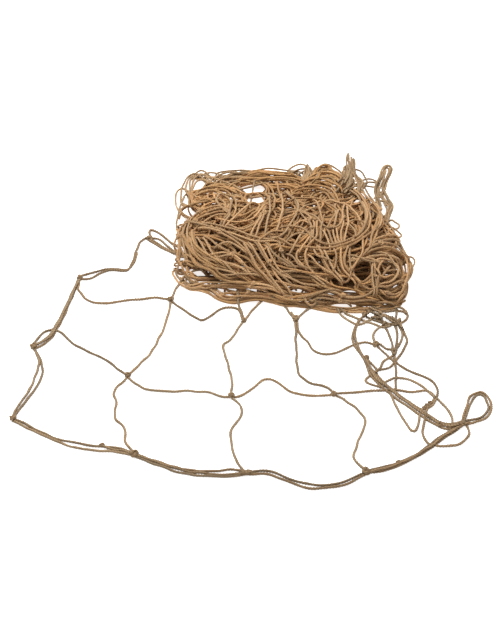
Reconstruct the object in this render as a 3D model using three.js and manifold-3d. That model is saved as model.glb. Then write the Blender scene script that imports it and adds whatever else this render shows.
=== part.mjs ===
// Plant support net knotted from jute twine, lying on the ground.
// Most of the net is gathered and folded back and forth into a low heap. Its end is opened out in front of
// the heap: square meshes of single twine with a doubled twine along the border.
// Millimetres, +Z up, the ground is z = 0. +X runs along the heap's folds, +Y from the opened end to the heap.
import * as THREE from "three";
import { mergeVertices } from "three/addons/utils/BufferGeometryUtils.js";
import Module from "manifold-3d";

const wasm = await Module();
wasm.setup();

// Twine and knots
const TWINE = 3.1; // diameter of one twine
const TWINE_SIDES = 4; // a flat side faces the ground
const TWINE_STEP = 16; // length of a straight step along a twine
const KNOT = {
  length: 10,
  width: 8.5,
  height: 6.5,
  wraps: 2,
  sides: 6,
  groove: 0.84, // radius between two wraps against that of a wrap
  endTaper: 0.85,
  bed: 0.46, // height of its middle as a share of its height
  firstHeading: 0.4, // radians
  headingStep: 0.7,
};
const PAIR_SHARE = 0.5; // distance of each border twine from their middle line, in twine diameters

// Heap
const FOLD_SIDES = 8;
const FOLD_STEP = 31;
const FOLD_RIDGES = 4; // bunches of twine that show round a fold
const FOLD_RIDGE_SHARE = 0.12; // how far a bunch stands out, as a share of the fold's radius
const FOLD_LAY = 260; // length in which the bunches go once round a fold
const FOLD_SINK = 0.16; // share of a ground fold's thickness that its own weight presses flat
const FOLD_END_TAPER = 0.7;
const SWEEP_RIDGES = 3;
const LOOP_SPREAD = 0.22; // width of a loop's tip against the distance between its roots
const TURN_REACH = 4; // how far a fold's turn stands out past the ends that it joins
const TURN_SHARE = 0.72; // thickness of a turn against the folds that it joins
const FIT_GAP = 0.5; // between the opened meshes and the heap
const SETBACK = 10; // moves the origin to the middle of the net's outline

// Where the twines are knotted, and where they run into the heap: x, y and height of the underside
const PLACES = {
  A0: [-285, -180, 0],
  A1: [-137, -240, 0],
  A2: [-7, -271, 0],
  A3: [136, -269, 0],
  A4: [240, -195, 0],
  B0: [-271, -51, 0],
  B1: [-151, -104, 0],
  B2: [-24, -141, 0],
  B3: [101, -138, 0],
  B4: [215, -153, 0],
  C0: [-222, 83, 0],
  C1: [-104, 39, 0],
  C2: [-9, -2, 0],
  C3: [56, 0, 0],
  C4: [155, -47, 0],
  D0: [-130, 163, 0],
  border_low: [172, -255, 0],
  border_mid: [142, -76, 0],
  border_heap: [144, 30, 8],
  loop_tip: [280, -134, 0],
  loop_end: [251, -188, 3],
  heap_left: [-84, 92, 6],
  heap_left_upper: [-80, 138, 6],
  heap_left_lower: [-82, 124, 8],
  heap_c2_left: [-18, 52, 12],
  heap_c2_right: [20, 54, 12],
  heap_c3_left: [32, 50, 12],
  heap_c3_right: [82, 40, 10],
};
const BORDER_KNOTS = ["A0", "A1", "A2", "A3", "A4", "B0", "C0", "D0", "border_low", "border_mid"];
const MESH_KNOTS = ["B1", "B2", "B3", "B4", "C1", "C2", "C3", "C4"];

// One row for each single twine of the meshes.
// bends: share of the way along, distance to the left of the straight line, and rise
const TWINES = [
  { from: "B1", to: "A1", bends: [[0.22, -19], [0.51, -20], [0.68, -8], [0.83, -11]] },
  { from: "B2", to: "A2", bends: [[0.21, 11], [0.5, -9], [0.8, -8]] },
  { from: "B3", to: "A3", bends: [[0.35, 23], [0.82, -9]] },
  { from: "C1", to: "B1", bends: [[0.2, 10], [0.5, 11], [0.87, 7]] },
  { from: "C2", to: "B2", bends: [[0.4, -19], [0.75, -4]] },
  { from: "C3", to: "B3", bends: [[0.4, -14], [0.69, -27]] },
  { from: "B0", to: "B1", bends: [[0.03, 28, 3], [0.11, 38], [0.36, 27], [0.75, 12]] },
  { from: "B1", to: "B2", bends: [[0.23, -18], [0.55, -7]] },
  { from: "B2", to: "B3", bends: [[0.12, -1], [0.35, 30], [0.67, 2]] },
  { from: "B3", to: "B4", bends: [[0.4, 8], [0.68, 17, 3], [0.95, 20], [1.05, 10]] },
  { from: "C0", to: "C1", bends: [[0.12, -28], [0.3, -38], [0.78, -7]] },
  { from: "C1", to: "C2", bends: [[0.3, -8], [0.53, -21], [0.72, 15], [0.9, 17]] },
  { from: "C3", to: "C4", bends: [[0.26, -31], [0.49, -43], [0.67, -32], [0.82, -6]] },
  { from: "C4", to: "B4", bends: [[0.12, 5], [0.46, 7], [0.76, 25], [0.87, 22], [0.96, 10]] },
  { from: "D0", to: "heap_left_upper", bends: [[0.5, 5]] },
  { from: "D0", to: "heap_left_lower", bends: [[0.45, -5]] },
  { from: "C1", to: "heap_left", bends: [[0.5, -2]] },
  { from: "C2", to: "heap_c2_left", bends: [[0.5, 1]] },
  { from: "C2", to: "heap_c2_right", bends: [[0.5, -2]] },
  { from: "C3", to: "heap_c3_left", bends: [[0.5, 2]] },
  { from: "C3", to: "heap_c3_right", bends: [[0.5, -2]] },
];

// One row for each slack twine at the right-hand border, where the last meshes lie bunched
const SLACK = [
  {
    name: "arch to the corner",
    points: [[164, -115], [170, -110], [182, -108], [206, -121], [239, -168], [241, -190]],
  },
  {
    name: "loop round the corner",
    points: [[215, -153], [208, -168], [204, -208], [223, -226], [247, -223], [258, -201], [253, -187]],
  },
  { name: "notch", points: [[168, -132], [179, -170], [194, -203], [204, -166]] },
  { name: "straight run", points: [[168, 28, 5], [170, 2], [178, -84], [177, -134]] },
  {
    name: "outer hook",
    points: [[174, 30, 6], [188, -9], [194, -42], [190, -55], [168, -92], [158, -95], [147, -80]],
  },
  {
    name: "inner hook",
    points: [[180, 28, 6], [190, -23], [189, -36], [157, -94], [140, -113], [164, -126]],
  },
  { name: "straight from the knot", points: [[155, -47], [156, -25], [171, 8], [175, 32, 5]] },
  {
    name: "bend from the knot",
    points: [[155, -47], [169, -55], [177, -55], [182, -44], [183, 0], [183, 32, 5]],
  },
  { name: "front loop", points: [[112, 34, 4], [119, 8], [138, -7], [166, 10], [176, 34, 5]] },
  {
    name: "wide front loop",
    points: [[104, 34, 4], [132, 4], [169, -13], [188, -7], [198, 8], [193, 18], [170, 18, 3], [158, 36, 5]],
  },
];

// One row for each doubled twine of the border. open: widest gap between the two, and where along it is
const BORDER = [
  { from: "A0", to: "A1", bends: [[0.3, -5], [0.57, -15], [0.8, -9]], open: 7, openAt: 0.6 },
  { from: "A1", to: "A2", bends: [[0.25, -4], [0.54, -14], [0.85, -6]], open: 6, openAt: 0.75 },
  { from: "A2", to: "A3", bends: [[0.17, 3], [0.38, -10], [0.61, -24], [0.78, -19]], open: 5, openAt: 0.6 },
  { from: "A3", to: "A4", bends: [[0.42, -10], [0.75, -4]], open: 1, openAt: 0.4 },
  { from: "A0", to: "B0", bends: [[0.3, -8], [0.6, -16], [0.85, -10]], open: 4, openAt: 0.5 },
  { from: "B0", to: "C0", bends: [[0.26, -10], [0.6, -4]], open: 1, openAt: 0.5 },
  { from: "C0", to: "D0", bends: [[0.31, -11], [0.46, -27], [0.66, -16], [0.86, 4]], open: 4, openAt: 0.2 },
  {
    from: "A4",
    to: "border_heap",
    bends: [
      [0.02, 8], [0.06, 14], [0.125, 17], [0.24, 27], [0.34, 36],
      [0.47, 48], [0.61, 43], [0.73, 43], [0.85, 30], [0.95, 8],
    ],
    open: 1.5,
    openAt: 0.4,
  },
  {
    from: "A4",
    to: "loop_tip",
    bends: [[0.29, -12], [0.48, -20], [0.7, -21], [0.86, -17], [0.97, -9]],
    open: 0.5,
    openAt: 0.5,
  },
  { from: "loop_tip", to: "loop_end", bends: [[0.18, -5], [0.42, -5], [0.72, -2, 2]], open: 0.5, openAt: 0.5 },
];

// One row for each fold of the gathered net, in the order in which it was laid: its two ends and its middle,
// its width and its thickness. A turn joins each fold to the next.
const FOLDS = [
  { start: [176, 36, 9], middle: [52, 42, 9], end: [-60, 68, 9], width: 30, thick: 22 },
  { start: [-80, 104, 10], middle: [55, 84, 10], end: [188, 80, 10], width: 46, thick: 25 },
  { start: [188, 124, 10], middle: [55, 128, 10], end: [-82, 146, 10], width: 46, thick: 25 },
  { start: [-80, 186, 10], middle: [55, 172, 10], end: [182, 168, 10], width: 44, thick: 24 },
  { start: [174, 208, 9], middle: [50, 205, 9], end: [-74, 222, 9], width: 40, thick: 21 },
  { start: [-68, 274, 6], middle: [28, 290, 6], end: [128, 272, 8], width: 22, thick: 15 },
  { start: [148, 214, 28], middle: [60, 194, 31], end: [-56, 196, 26], width: 42, thick: 22 },
  { start: [-72, 150, 31], middle: [55, 150, 35], end: [176, 150, 32], width: 48, thick: 24 },
  { start: [180, 104, 32], middle: [60, 106, 36], end: [-62, 118, 31], width: 46, thick: 24 },
  { start: [-40, 80, 28], middle: [60, 66, 33], end: [168, 62, 29], width: 38, thick: 22 },
];

// One row for each loose bunch that sweeps over the folds or lies along the heap's foot
const SWEEPS = [
  { name: "diagonal", start: [-76, 132, 42], middle: [0, 96, 47], end: [80, 40, 27], width: 30, thick: 14 },
  { name: "left arc", start: [-86, 158, 34], middle: [-20, 122, 49], end: [52, 101, 53], width: 26, thick: 14 },
  { name: "rear arc", start: [48, 100, 53], middle: [86, 158, 50], end: [68, 216, 34], width: 24, thick: 14 },
  { name: "front arc", start: [40, 102, 53], middle: [110, 80, 55], end: [160, 140, 50], width: 24, thick: 14 },
  { name: "right arc", start: [150, 110, 52], middle: [166, 165, 47], end: [156, 222, 34], width: 24, thick: 14 },
  { name: "cross", start: [119, 222, 34], middle: [125, 140, 54], end: [118, 74, 52], width: 28, thick: 14 },
  { name: "swirl", start: [118, 78, 51], middle: [138, 36, 32], end: [164, 60, 36], width: 16, thick: 12 },
  { name: "left rear", start: [-72, 162, 34], middle: [-20, 184, 34], end: [34, 222, 20], width: 30, thick: 13 },
  { name: "right foot", start: [168, 190, 38], middle: [195, 98, 26], end: [172, 34, 11], width: 18, thick: 13 },
  { name: "front slope", start: [-88, 78, 8], middle: [40, 46, 23], end: [178, 54, 26], width: 18, thick: 12 },
  { name: "front foot", start: [-76, 66, 3], middle: [40, 27, 3], end: [176, 30, 4], width: 10, thick: 7 },
  { name: "rear foot", start: [-70, 288, 3], middle: [26, 304, 3], end: [122, 286, 5], width: 10, thick: 7 },
  { name: "lacing 1", start: [-58, 212, 11], middle: [-46, 246, 9], end: [-36, 284, 7], width: 40, thick: 15 },
  { name: "lacing 2", start: [36, 212, 12], middle: [48, 246, 10], end: [60, 286, 7], width: 44, thick: 16 },
  { name: "lacing 3", start: [96, 210, 13], middle: [104, 246, 12], end: [112, 276, 9], width: 42, thick: 17 },
  { name: "rear ear", start: [138, 216, 32], middle: [136, 258, 36], end: [133, 303, 34], width: 14, thick: 9 },
];

// One row for each loop of twine that stands out from the heap's rim: its two roots, its tip and its thickness
const LOOPS = [
  { root: [-60, 266, 4], tip: [-84, 302, 3], back: [-76, 232, 4], thick: TWINE },
  { root: [-74, 240, 4], tip: [-101, 250, 2], back: [-76, 206, 5], thick: TWINE },
  { root: [-76, 214, 6], tip: [-100, 188, 3], back: [-80, 160, 8], thick: TWINE },
  { root: [-70, 74, 5], tip: [-102, 92, 4], back: [-80, 108, 8], thick: 5 },
  { root: [46, 296, 4], tip: [72, 316, 9], back: [84, 286, 5], thick: TWINE },
  { root: [84, 288, 4], tip: [108, 312, 9], back: [120, 274, 7], thick: TWINE },
  { root: [124, 262, 10], tip: [151, 282, 18], back: [148, 226, 26], thick: TWINE },
  { root: [164, 200, 30], tip: [184, 280, 30], back: [176, 192, 32], thick: 6.5 },
  { root: [178, 176, 24], tip: [200, 164, 22], back: [182, 150, 26], thick: TWINE },
  { root: [184, 150, 24], tip: [202, 142, 20], back: [186, 128, 24], thick: TWINE },
  { root: [192, 112, 20], tip: [212, 100, 18], back: [194, 84, 18], thick: 4.5 },
  { root: [180, 62, 12], tip: [208, 66, 9], back: [180, 42, 8], thick: 4.5 },
];

const netMaterial = (name, colour) =>
  new THREE.MeshStandardMaterial({ name, color: colour, roughness: 0.95, metalness: 0 });
const TWINE_LOOK = netMaterial("jute twine", 0xa8804f);
const HEAP_LOOK = netMaterial("folded jute net", 0x9a7446);

// A closed surface through rings of points, with a fan over each end ring.
function loft(rings) {
  const sides = rings[0].length;
  const centre = (ring) => ring.reduce((sum, p) => sum.add(p), new THREE.Vector3()).divideScalar(sides);
  const points = [...rings.flat(), centre(rings[0]), centre(rings.at(-1))];
  const first = points.length - 2;
  const last = points.length - 1;
  const index = [];
  for (let k = 0; k < sides; k++) {
    const next = (k + 1) % sides;
    for (let i = 0; i + 1 < rings.length; i++) {
      const [a, b, c, d] = [i * sides + k, i * sides + next, (i + 1) * sides + next, (i + 1) * sides + k];
      index.push(a, b, c, a, c, d);
    }
    const end = (rings.length - 1) * sides;
    index.push(first, next, k, last, end + k, end + next);
  }
  return new THREE.BufferGeometry().setFromPoints(points).setIndex(index);
}

function solidFrom(geometry) {
  const merged = mergeVertices(geometry, 1e-4);
  return new wasm.Manifold(
    new wasm.Mesh({
      numProp: 3,
      vertProperties: new Float32Array(merged.attributes.position.array),
      triVerts: new Uint32Array(merged.index.array),
    }),
  );
}

const join = (solids) => solids.reduce((all, one) => all.add(one));

const largest = (solid) => solid.decompose().sort((a, b) => b.volume() - a.volume())[0];

function meshFrom(solid, name, material) {
  const { numProp, numVert, vertProperties, triVerts } = solid.getMesh();
  const points = new Float32Array(numVert * 3);
  for (let i = 0; i < numVert; i++) points.set(vertProperties.subarray(i * numProp, i * numProp + 3), i * 3);
  const geometry = new THREE.BufferGeometry()
    .setAttribute("position", new THREE.BufferAttribute(points, 3))
    .setIndex(new THREE.BufferAttribute(triVerts, 1));
  geometry.computeVertexNormals();
  geometry.translate(0, -SETBACK, 0);
  const mesh = new THREE.Mesh(geometry, material);
  mesh.name = name;
  return mesh;
}

// The sideways and upward directions at a place on a curve. Sideways stays level.
function acrossAt(curve, share) {
  const along = curve.getTangentAt(share);
  const side = new THREE.Vector3(-along.y, along.x, 0).normalize();
  return { side, up: along.clone().cross(side) };
}

// A ring round a curve. The shape gives the distance sideways and upwards at each angle.
function ringAt(curve, share, sides, shape, floor) {
  const middle = curve.getPointAt(share);
  const { side, up } = acrossAt(curve, share);
  return Array.from({ length: sides }, (_, k) => {
    const { aside, rise } = shape((2 * Math.PI * (k + 0.5)) / sides - Math.PI / 2);
    const point = middle.clone().addScaledVector(side, aside).addScaledVector(up, rise);
    point.z = Math.max(point.z, floor);
    return point;
  });
}

// Radius of a polygon with the area of a round twine, and the height of its middle when it lies on a side
const polygonRadius = (thick) =>
  thick * Math.sqrt(Math.PI / (2 * TWINE_SIDES * Math.sin((2 * Math.PI) / TWINE_SIDES)));
const lieHeight = (thick) => polygonRadius(thick) * Math.cos(Math.PI / TWINE_SIDES);

function twineSolid(curve, thick, grow = 0) {
  const steps = Math.max(4, Math.round(curve.getLength() / TWINE_STEP));
  const radius = polygonRadius(thick) + grow;
  const shape = (angle) => ({ aside: radius * Math.cos(angle), rise: radius * Math.sin(angle) });
  const rings = [];
  for (let i = 0; i <= steps; i++) rings.push(ringAt(curve, i / steps, TWINE_SIDES, shape, -grow));
  return solidFrom(loft(rings));
}

const smooth = (points) => new THREE.CatmullRomCurve3(points, false, "centripetal");

// The middle of a twine whose underside is at a given height
const lying = ([x, y, base = 0]) => new THREE.Vector3(x, y, base + lieHeight(TWINE));

// The curve of one row: straight between its two places but for its bends
function routeOf({ from, to, bends }) {
  const start = lying(PLACES[from]);
  const end = lying(PLACES[to]);
  const way = end.clone().sub(start);
  const left = new THREE.Vector3(-way.y, way.x, 0).normalize();
  const vias = bends.map(([share, aside, rise = 0]) => {
    const via = start.clone().addScaledVector(way, share).addScaledVector(left, aside);
    via.z += rise;
    return via;
  });
  return smooth([start, ...vias, end]);
}

// Two twines side by side along a border row, parted most at openAt
function borderSolids(row) {
  const curve = routeOf(row);
  const steps = Math.round(curve.getLength() / TWINE_STEP);
  const power = Math.log(0.5) / Math.log(row.openAt);
  return [-1, 1].map((sign) => {
    const points = [];
    for (let i = 0; i <= steps; i++) {
      const share = i / steps;
      const parted = PAIR_SHARE * TWINE + (row.open / 2) * Math.sin(Math.PI * share ** power);
      points.push(curve.getPointAt(share).addScaledVector(acrossAt(curve, share).side, sign * parted));
    }
    return twineSolid(smooth(points), TWINE);
  });
}

// A wrapped knot: a barrel with a ridge for each wrap, lying flat on the ground
function knotSolid(name, heading) {
  const [x, y, base] = PLACES[name];
  const half = new THREE.Vector3(Math.cos(heading), Math.sin(heading), 0).multiplyScalar(KNOT.length / 2);
  const middle = new THREE.Vector3(x, y, base + KNOT.height * KNOT.bed);
  const axis = new THREE.LineCurve3(middle.clone().sub(half), middle.clone().add(half));
  const rings = [];
  const steps = KNOT.wraps * 2;
  for (let i = 0; i <= steps; i++) {
    const crown = Math.sqrt(1 - (KNOT.endTaper * ((2 * i) / steps - 1)) ** 2);
    const swell = crown * (i % 2 ? 1 : KNOT.groove);
    const shape = (angle) => ({
      aside: (KNOT.width / 2) * swell * Math.cos(angle),
      rise: (KNOT.height / 2) * swell * Math.sin(angle),
    });
    rings.push(ringAt(axis, i / steps, KNOT.sides, shape, base));
  }
  return solidFrom(loft(rings));
}

// A bunch of gathered twines: ridges run round it slowly, its ends are rounded, and the ground flattens it
function bunchSolid(curve, width, thick, grow, ridges = FOLD_RIDGES) {
  const steps = Math.max(5, Math.round(curve.getLength() / FOLD_STEP));
  const rings = [];
  for (let i = 0; i <= steps; i++) {
    const share = i / steps;
    const turn = (2 * Math.PI * share * curve.getLength()) / FOLD_LAY;
    const taper = Math.sqrt(1 - FOLD_END_TAPER * (2 * share - 1) ** 8);
    const shape = (angle) => {
      const swell = taper * (1 + FOLD_RIDGE_SHARE * Math.cos(ridges * (angle + turn)));
      return {
        aside: ((width / 2) * swell + grow) * Math.cos(angle),
        rise: ((thick / 2) * (1 + FOLD_SINK) * swell + grow) * Math.sin(angle),
      };
    };
    rings.push(ringAt(curve, share, FOLD_SIDES, shape, -grow));
  }
  return solidFrom(loft(rings));
}

const curveOf = ({ start, middle, end }) => smooth([start, middle, end].map((p) => new THREE.Vector3(...p)));

// The turn from the end of one fold to the start of the next, standing out past both
function turnSolid(fold, next, grow) {
  const leave = new THREE.Vector3(...fold.end);
  const arrive = new THREE.Vector3(...next.start);
  const outward = leave.clone().sub(new THREE.Vector3(...fold.middle)).setZ(0).normalize();
  const tip = leave.clone().lerp(arrive, 0.5).addScaledVector(outward, TURN_REACH);
  const width = TURN_SHARE * Math.min(fold.width, next.width);
  const thick = TURN_SHARE * Math.min(fold.thick, next.thick);
  return bunchSolid(smooth([leave, tip, arrive]), width, thick, grow, SWEEP_RIDGES);
}

function loopSolid({ root, tip, back, thick }, grow) {
  const [a, b, c] = [root, tip, back].map((p) => new THREE.Vector3(...p));
  const across = c.clone().sub(a).multiplyScalar(LOOP_SPREAD);
  const curve = smooth([a, b.clone().sub(across), b.clone().add(across), c]);
  return twineSolid(curve, thick, grow);
}

function heapSolid(grow = 0) {
  const folds = FOLDS.map((row) => bunchSolid(curveOf(row), row.width, row.thick, grow));
  const turns = FOLDS.slice(1).map((row, i) => turnSolid(FOLDS[i], row, grow));
  const sweeps = SWEEPS.map((row) => bunchSolid(curveOf(row), row.width, row.thick, grow, SWEEP_RIDGES));
  const loops = LOOPS.map((row) => loopSolid(row, grow));
  return join([...folds, ...turns, ...sweeps, ...loops]);
}

function openedSolid() {
  const twines = TWINES.map((row) => twineSolid(routeOf(row), TWINE));
  const slack = SLACK.map((row) => twineSolid(smooth(row.points.map(lying)), TWINE));
  const border = BORDER.flatMap(borderSolids);
  const knots = [...BORDER_KNOTS, ...MESH_KNOTS].map((name, i) =>
    knotSolid(name, KNOT.firstHeading + i * KNOT.headingStep),
  );
  return largest(join([...twines, ...slack, ...border, ...knots]).subtract(heapSolid(FIT_GAP)));
}

const net = new THREE.Group();
net.name = "plant_support_net";
net.add(meshFrom(largest(heapSolid()), "folded_heap", HEAP_LOOK));
net.add(meshFrom(openedSolid(), "opened_meshes", TWINE_LOOK));

export default net;
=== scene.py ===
"""Jute plant support net: its twines, knots and loose fibres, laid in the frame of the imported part."""

import math
from functools import lru_cache, partial
from itertools import product

import bpy
import numpy as np
from bpy.props import FloatProperty, FloatVectorProperty, IntProperty, PointerProperty
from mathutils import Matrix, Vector


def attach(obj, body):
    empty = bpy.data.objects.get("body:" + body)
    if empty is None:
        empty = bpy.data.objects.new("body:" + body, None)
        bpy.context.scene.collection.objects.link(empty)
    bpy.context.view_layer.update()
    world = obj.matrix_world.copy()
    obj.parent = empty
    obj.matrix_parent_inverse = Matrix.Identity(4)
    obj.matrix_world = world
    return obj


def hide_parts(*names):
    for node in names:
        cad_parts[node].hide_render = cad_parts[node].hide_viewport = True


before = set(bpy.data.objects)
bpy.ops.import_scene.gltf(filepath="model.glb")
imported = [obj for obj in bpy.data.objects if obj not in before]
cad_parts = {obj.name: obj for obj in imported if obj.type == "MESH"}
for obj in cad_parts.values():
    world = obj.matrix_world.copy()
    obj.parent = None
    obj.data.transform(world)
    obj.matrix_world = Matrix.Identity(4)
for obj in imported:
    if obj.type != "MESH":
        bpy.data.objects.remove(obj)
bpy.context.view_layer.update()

bl_info = {
    "name": "Plant support net",
    "version": (1, 0, 0),
    "blender": (4, 5, 0),
    "location": "3D View > Sidebar > Net",
    "description": "Makes the twines, knots and loose fibres of a folded jute net",
    "category": "Add Mesh",
}

MM = 0.001
TINY = 1e-6
FULL_TURN = 2 * math.pi
SETBACK = 10.0  # mm by which the tables' origin lies in front of the part's

# Knots of the opened end: x and y in mm, and size as a share of the usual knot
KNOTS = [
    (-285, -180, 1.1), (-137, -241, 1.25), (-8, -272, 1.1), (-2, -271, 1.0), (134, -270, 1.25),
    (-271, -51, 1.15), (-151, -104, 1.0), (-24, -141, 1.05), (100, -138, 1.05), (216, -153, 0.75),
    (212, -157, 0.7), (209, -161, 0.7), (-222, 83, 1.0), (-103, 39, 1.1), (-9, -2, 1.0), (56, 1, 1.2),
    (155, -48, 1.1), (-137, 165, 0.9), (143, -73, 1.0), (225, -192, 1.0), (-175, -226, 0.8),
    (172, -255, 0.7), (168, -11, 0.75), (185, -9, 0.75), (188, -1, 0.55), (253, -189, 0.9),
]

# Single twines of the opened meshes, as points in mm: x, y and, off the ground, height of the underside
MESH_TWINES = {
    "front side": [
        [(-151, -106), (-167, -136), (-163, -148), (-162, -180), (-149, -199), (-149, -217), (-137, -239)],
        [(-23, -144), (-14, -154), (-11, -165), (-12, -175), (-23, -199), (-24, -211), (-18, -248),
         (-8, -268)],
        [(101, -138), (114, -148), (135, -176), (134, -199), (125, -223), (121, -246), (125, -256),
         (135, -268)],
    ],
    "rear side": [
        [(-103, 38), (-103, 26), (-115, -36), (-130, -72), (-151, -104)],
        [(-10, -3), (-26, -37), (-33, -45), (-34, -55), (-24, -106), (-24, -140)],
        [(56, -1), (59, -101), (64, -110), (73, -117), (94, -126), (101, -137)],
    ],
    "middle row": [
        [(-272, -49), (-262, -26), (-249, -19), (-242, -22), (-234, -28), (-219, -48), (-187, -69),
         (-151, -104)],
        [(-151, -106), (-138, -121), (-128, -128), (-95, -132), (-60, -132), (-31, -142), (-24, -141)],
        [(-23, -142), (-16, -142), (-8, -137), (15, -112), (21, -110), (27, -112), (47, -131), (59, -137),
         (71, -140), (101, -138)],
        [(101, -136), (177, -130), (193, -133), (216, -132), (223, -142)],
    ],
    "rear row": [
        [(-223, 77), (-221, 57), (-208, 39), (-199, 33), (-127, 43), (-104, 41)],
        [(-102, 37), (-67, 2), (-61, -1), (-42, 18), (-32, 24), (-23, 25), (-16, 21), (-9, 0)],
        [(58, -1), (59, -15), (64, -30), (77, -55), (86, -62), (94, -65), (104, -63), (136, -43),
         (144, -42), (155, -48)],
    ],
    "to heap": [
        [(-102, 42), (-92, 72), (-87, 78, 6)],
        [(-10, 0), (-15, 26), (-17, 46, 8)],
        [(-8, 0), (15, 40), (22, 46, 6)],
        [(56, 3), (41, 28), (27, 38, 8)],
        [(58, 3), (75, 23), (84, 27, 6)],
    ],
    "knot tail": [[(51, 15), (57, 0)]],
    "left fork": [
        [(-134, 166), (-123, 164), (-118, 160), (-104, 140), (-88, 121, 10)],
        [(-134, 164), (-104, 136), (-88, 119, 8)],
        [(-137, 164), (-119, 146), (-103, 135), (-93, 123, 8)],
    ],
    "left loop": [[(-132, 166), (-135, 179), (-132, 183), (-107, 158), (-92, 131, 10)]],
}

# Slack twines at the right-hand border, as points in the same way, the lowest first
SLACK_TWINES = {
    "front arc": [[(110, 17, 6), (114, 9), (134, -8), (140, -8), (157, 5), (163, 9, 6)]],
    "front line": [[(114, 15, 6), (123, 10), (167, -14), (175, -16, 4)]],
    "front tie": [[(141, 8, 5), (146, 6), (174, -11)]],
    "bend to the knot": [[(170, -9, 5), (165, -11), (154, -26), (155, -47)]],
    "long drop": [[(164, -1, 5), (168, -9), (174, -32), (178, -88), (176, -131)]],
    "short drop": [[(178, 2, 5), (182, -9), (183, -36), (177, -69)]],
    "side drop": [[(184, -5, 5), (188, -13), (191, -28), (178, -59)]],
    "outer drop": [[(186, -9, 5), (189, -15), (195, -39), (190, -56), (173, -86), (168, -91), (155, -95),
        (153, -101)]],
    "knot arc": [[(156, -46), (160, -45), (168, -54), (173, -56), (178, -56), (185, -46)]],
    "long outer arc": [[(156, -48), (187, -89), (219, -111), (224, -118), (227, -133), (223, -146)]],
    "small tie": [[(176, -67), (163, -79), (159, -91), (155, -95)]],
    "arch": [[(158, -120), (172, -110), (180, -108), (196, -112), (213, -129), (236, -163), (241, -178),
        (239, -192)]],
    "notch": [[(169, -133), (179, -172), (194, -202), (205, -163)]],
    "corner tie": [
        [(223, -143), (216, -156), (206, -163)],
        [(224, -145), (217, -158), (204, -165)],
    ],
    "corner loop": [[(217, -151), (211, -166), (205, -196), (204, -206), (208, -220), (212, -224),
        (226, -227), (246, -223), (258, -209), (258, -194), (255, -189)]],
    "side loop": [[(165, 11, 5), (172, 16), (189, 18), (196, 16), (198, 3), (195, -2), (183, -10),
        (175, -13, 5)]],
    "side stub": [[(184, 18, 5), (185, 16), (183, 2), (179, -4)]],
    "tangle": [
        [(154, 16, 5), (157, 12), (168, -6), (177, -10)],
        [(150, 17, 7), (158, 12, 6), (166, 8, 5), (167, 2, 3), (159, 0, 2)],
        [(146, 12, 6), (153, 10, 5), (162, 5, 4), (167, 1, 2), (159, 1, 4), (152, 3, 2)],
        [(155, 2, 4), (162, -1), (169, -7), (179, -8), (189, 3)],
    ],
    "tied bunch": [
        [(171, 3, 3), (177, 0, 3), (183, -2, 3), (189, -13, 1)],
        [(169, 9, 2), (177, -1, 4), (185, -8, 4), (191, -20, 1)],
        [(162, 13, 2), (172, 0, 5), (180, -6, 2), (187, -9, 3), (190, -19, 3)],
    ],
    "heap corner": [[(154, 20, 5), (164, 20), (182, 26), (190, 25), (196, 18), (198, 10)]],
}

# Twines of the border, which runs double and treble, as points in the same way
BORDER_TWINES = {
    "left": [
        [(-285, -178), (-284, -169), (-269, -128), (-262, -91), (-262, -75), (-270, -53)],
        [(-284, -177), (-257, -110), (-258, -82), (-271, -51)],
    ],
    "left upper": [
        [(-271, -52), (-253, -29), (-222, 84)],
        [(-270, -54), (-264, -51), (-250, -34), (-221, 82)],
        [(-271, -52, 2), (-255, -38, 2), (-249, -28, 2), (-222, 77, 2)],
    ],
    "left rear": [
        [(-222, 87), (-182, 102), (-165, 99), (-160, 101), (-154, 117), (-147, 156), (-139, 166),
         (-134, 166)],
        [(-221, 81), (-209, 82), (-185, 99), (-163, 98), (-155, 110), (-150, 134)],
    ],
    "front left": [
        [(-285, -181), (-276, -184), (-238, -210), (-196, -224), (-157, -230), (-137, -239)],
        [(-285, -183), (-240, -212), (-204, -230), (-160, -236), (-137, -242)],
        [(-179, -225, 1), (-159, -234, 1), (-150, -235, 1), (-136, -244, 1)],
    ],
    "front middle": [
        [(-137, -240), (-69, -267), (-22, -266), (-13, -267), (-6, -271)],
        [(-137, -243), (-77, -272), (-21, -276), (-6, -273)],
        [(-137, -242, 1), (-69, -270), (-59, -270), (-41, -275, 1), (-7, -273, 1)],
    ],
    "front right": [
        [(-6, -271), (20, -267), (45, -281), (64, -288), (82, -291), (101, -288), (135, -269)],
        [(-6, -273), (22, -274), (61, -294), (80, -296), (110, -289), (135, -272)],
    ],
    "corner": [
        [(135, -268), (184, -248), (228, -208), (254, -188)],
        [(135, -271), (160, -265), (192, -246), (257, -187)],
        [(135, -272, 2), (157, -265, 2), (191, -246, 2), (242, -200, 2), (261, -188, 2)],
    ],
    "end loop": [
        [(248, -195, 2), (283, -177), (290, -154), (283, -136), (278, -133), (266, -142), (253, -183),
         (249, -194, 3)],
        [(250, -192, 2), (257, -185, 1), (275, -178), (281, -173), (285, -165), (286, -154), (281, -140),
         (276, -138), (267, -149), (253, -192, 3)],
    ],
    "right": [
        [(146, 7, 6), (134, -7), (129, -21), (128, -43), (141, -77), (150, -110), (227, -195), (236, -197),
         (253, -187)],
        [(151, 9, 8), (138, 1), (133, -11), (131, -40), (159, -111), (224, -184), (232, -189), (241, -189),
         (251, -185)],
        [(142, -75, 2), (151, -106, 2), (165, -126, 2), (229, -193, 2), (237, -195, 2), (247, -193, 2)],
        [(129, -30, 2), (135, -60, 2), (150, -100, 2), (160, -119, 2), (190, -152, 2), (226, -190, 2),
         (238, -193, 2), (252, -188, 2)],
    ],
    "right spur": [[(144, -77, 2), (155, -94), (150, -104)]],
    "left spur": [[(151, -99), (140, -113), (162, -127)]],
}

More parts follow.
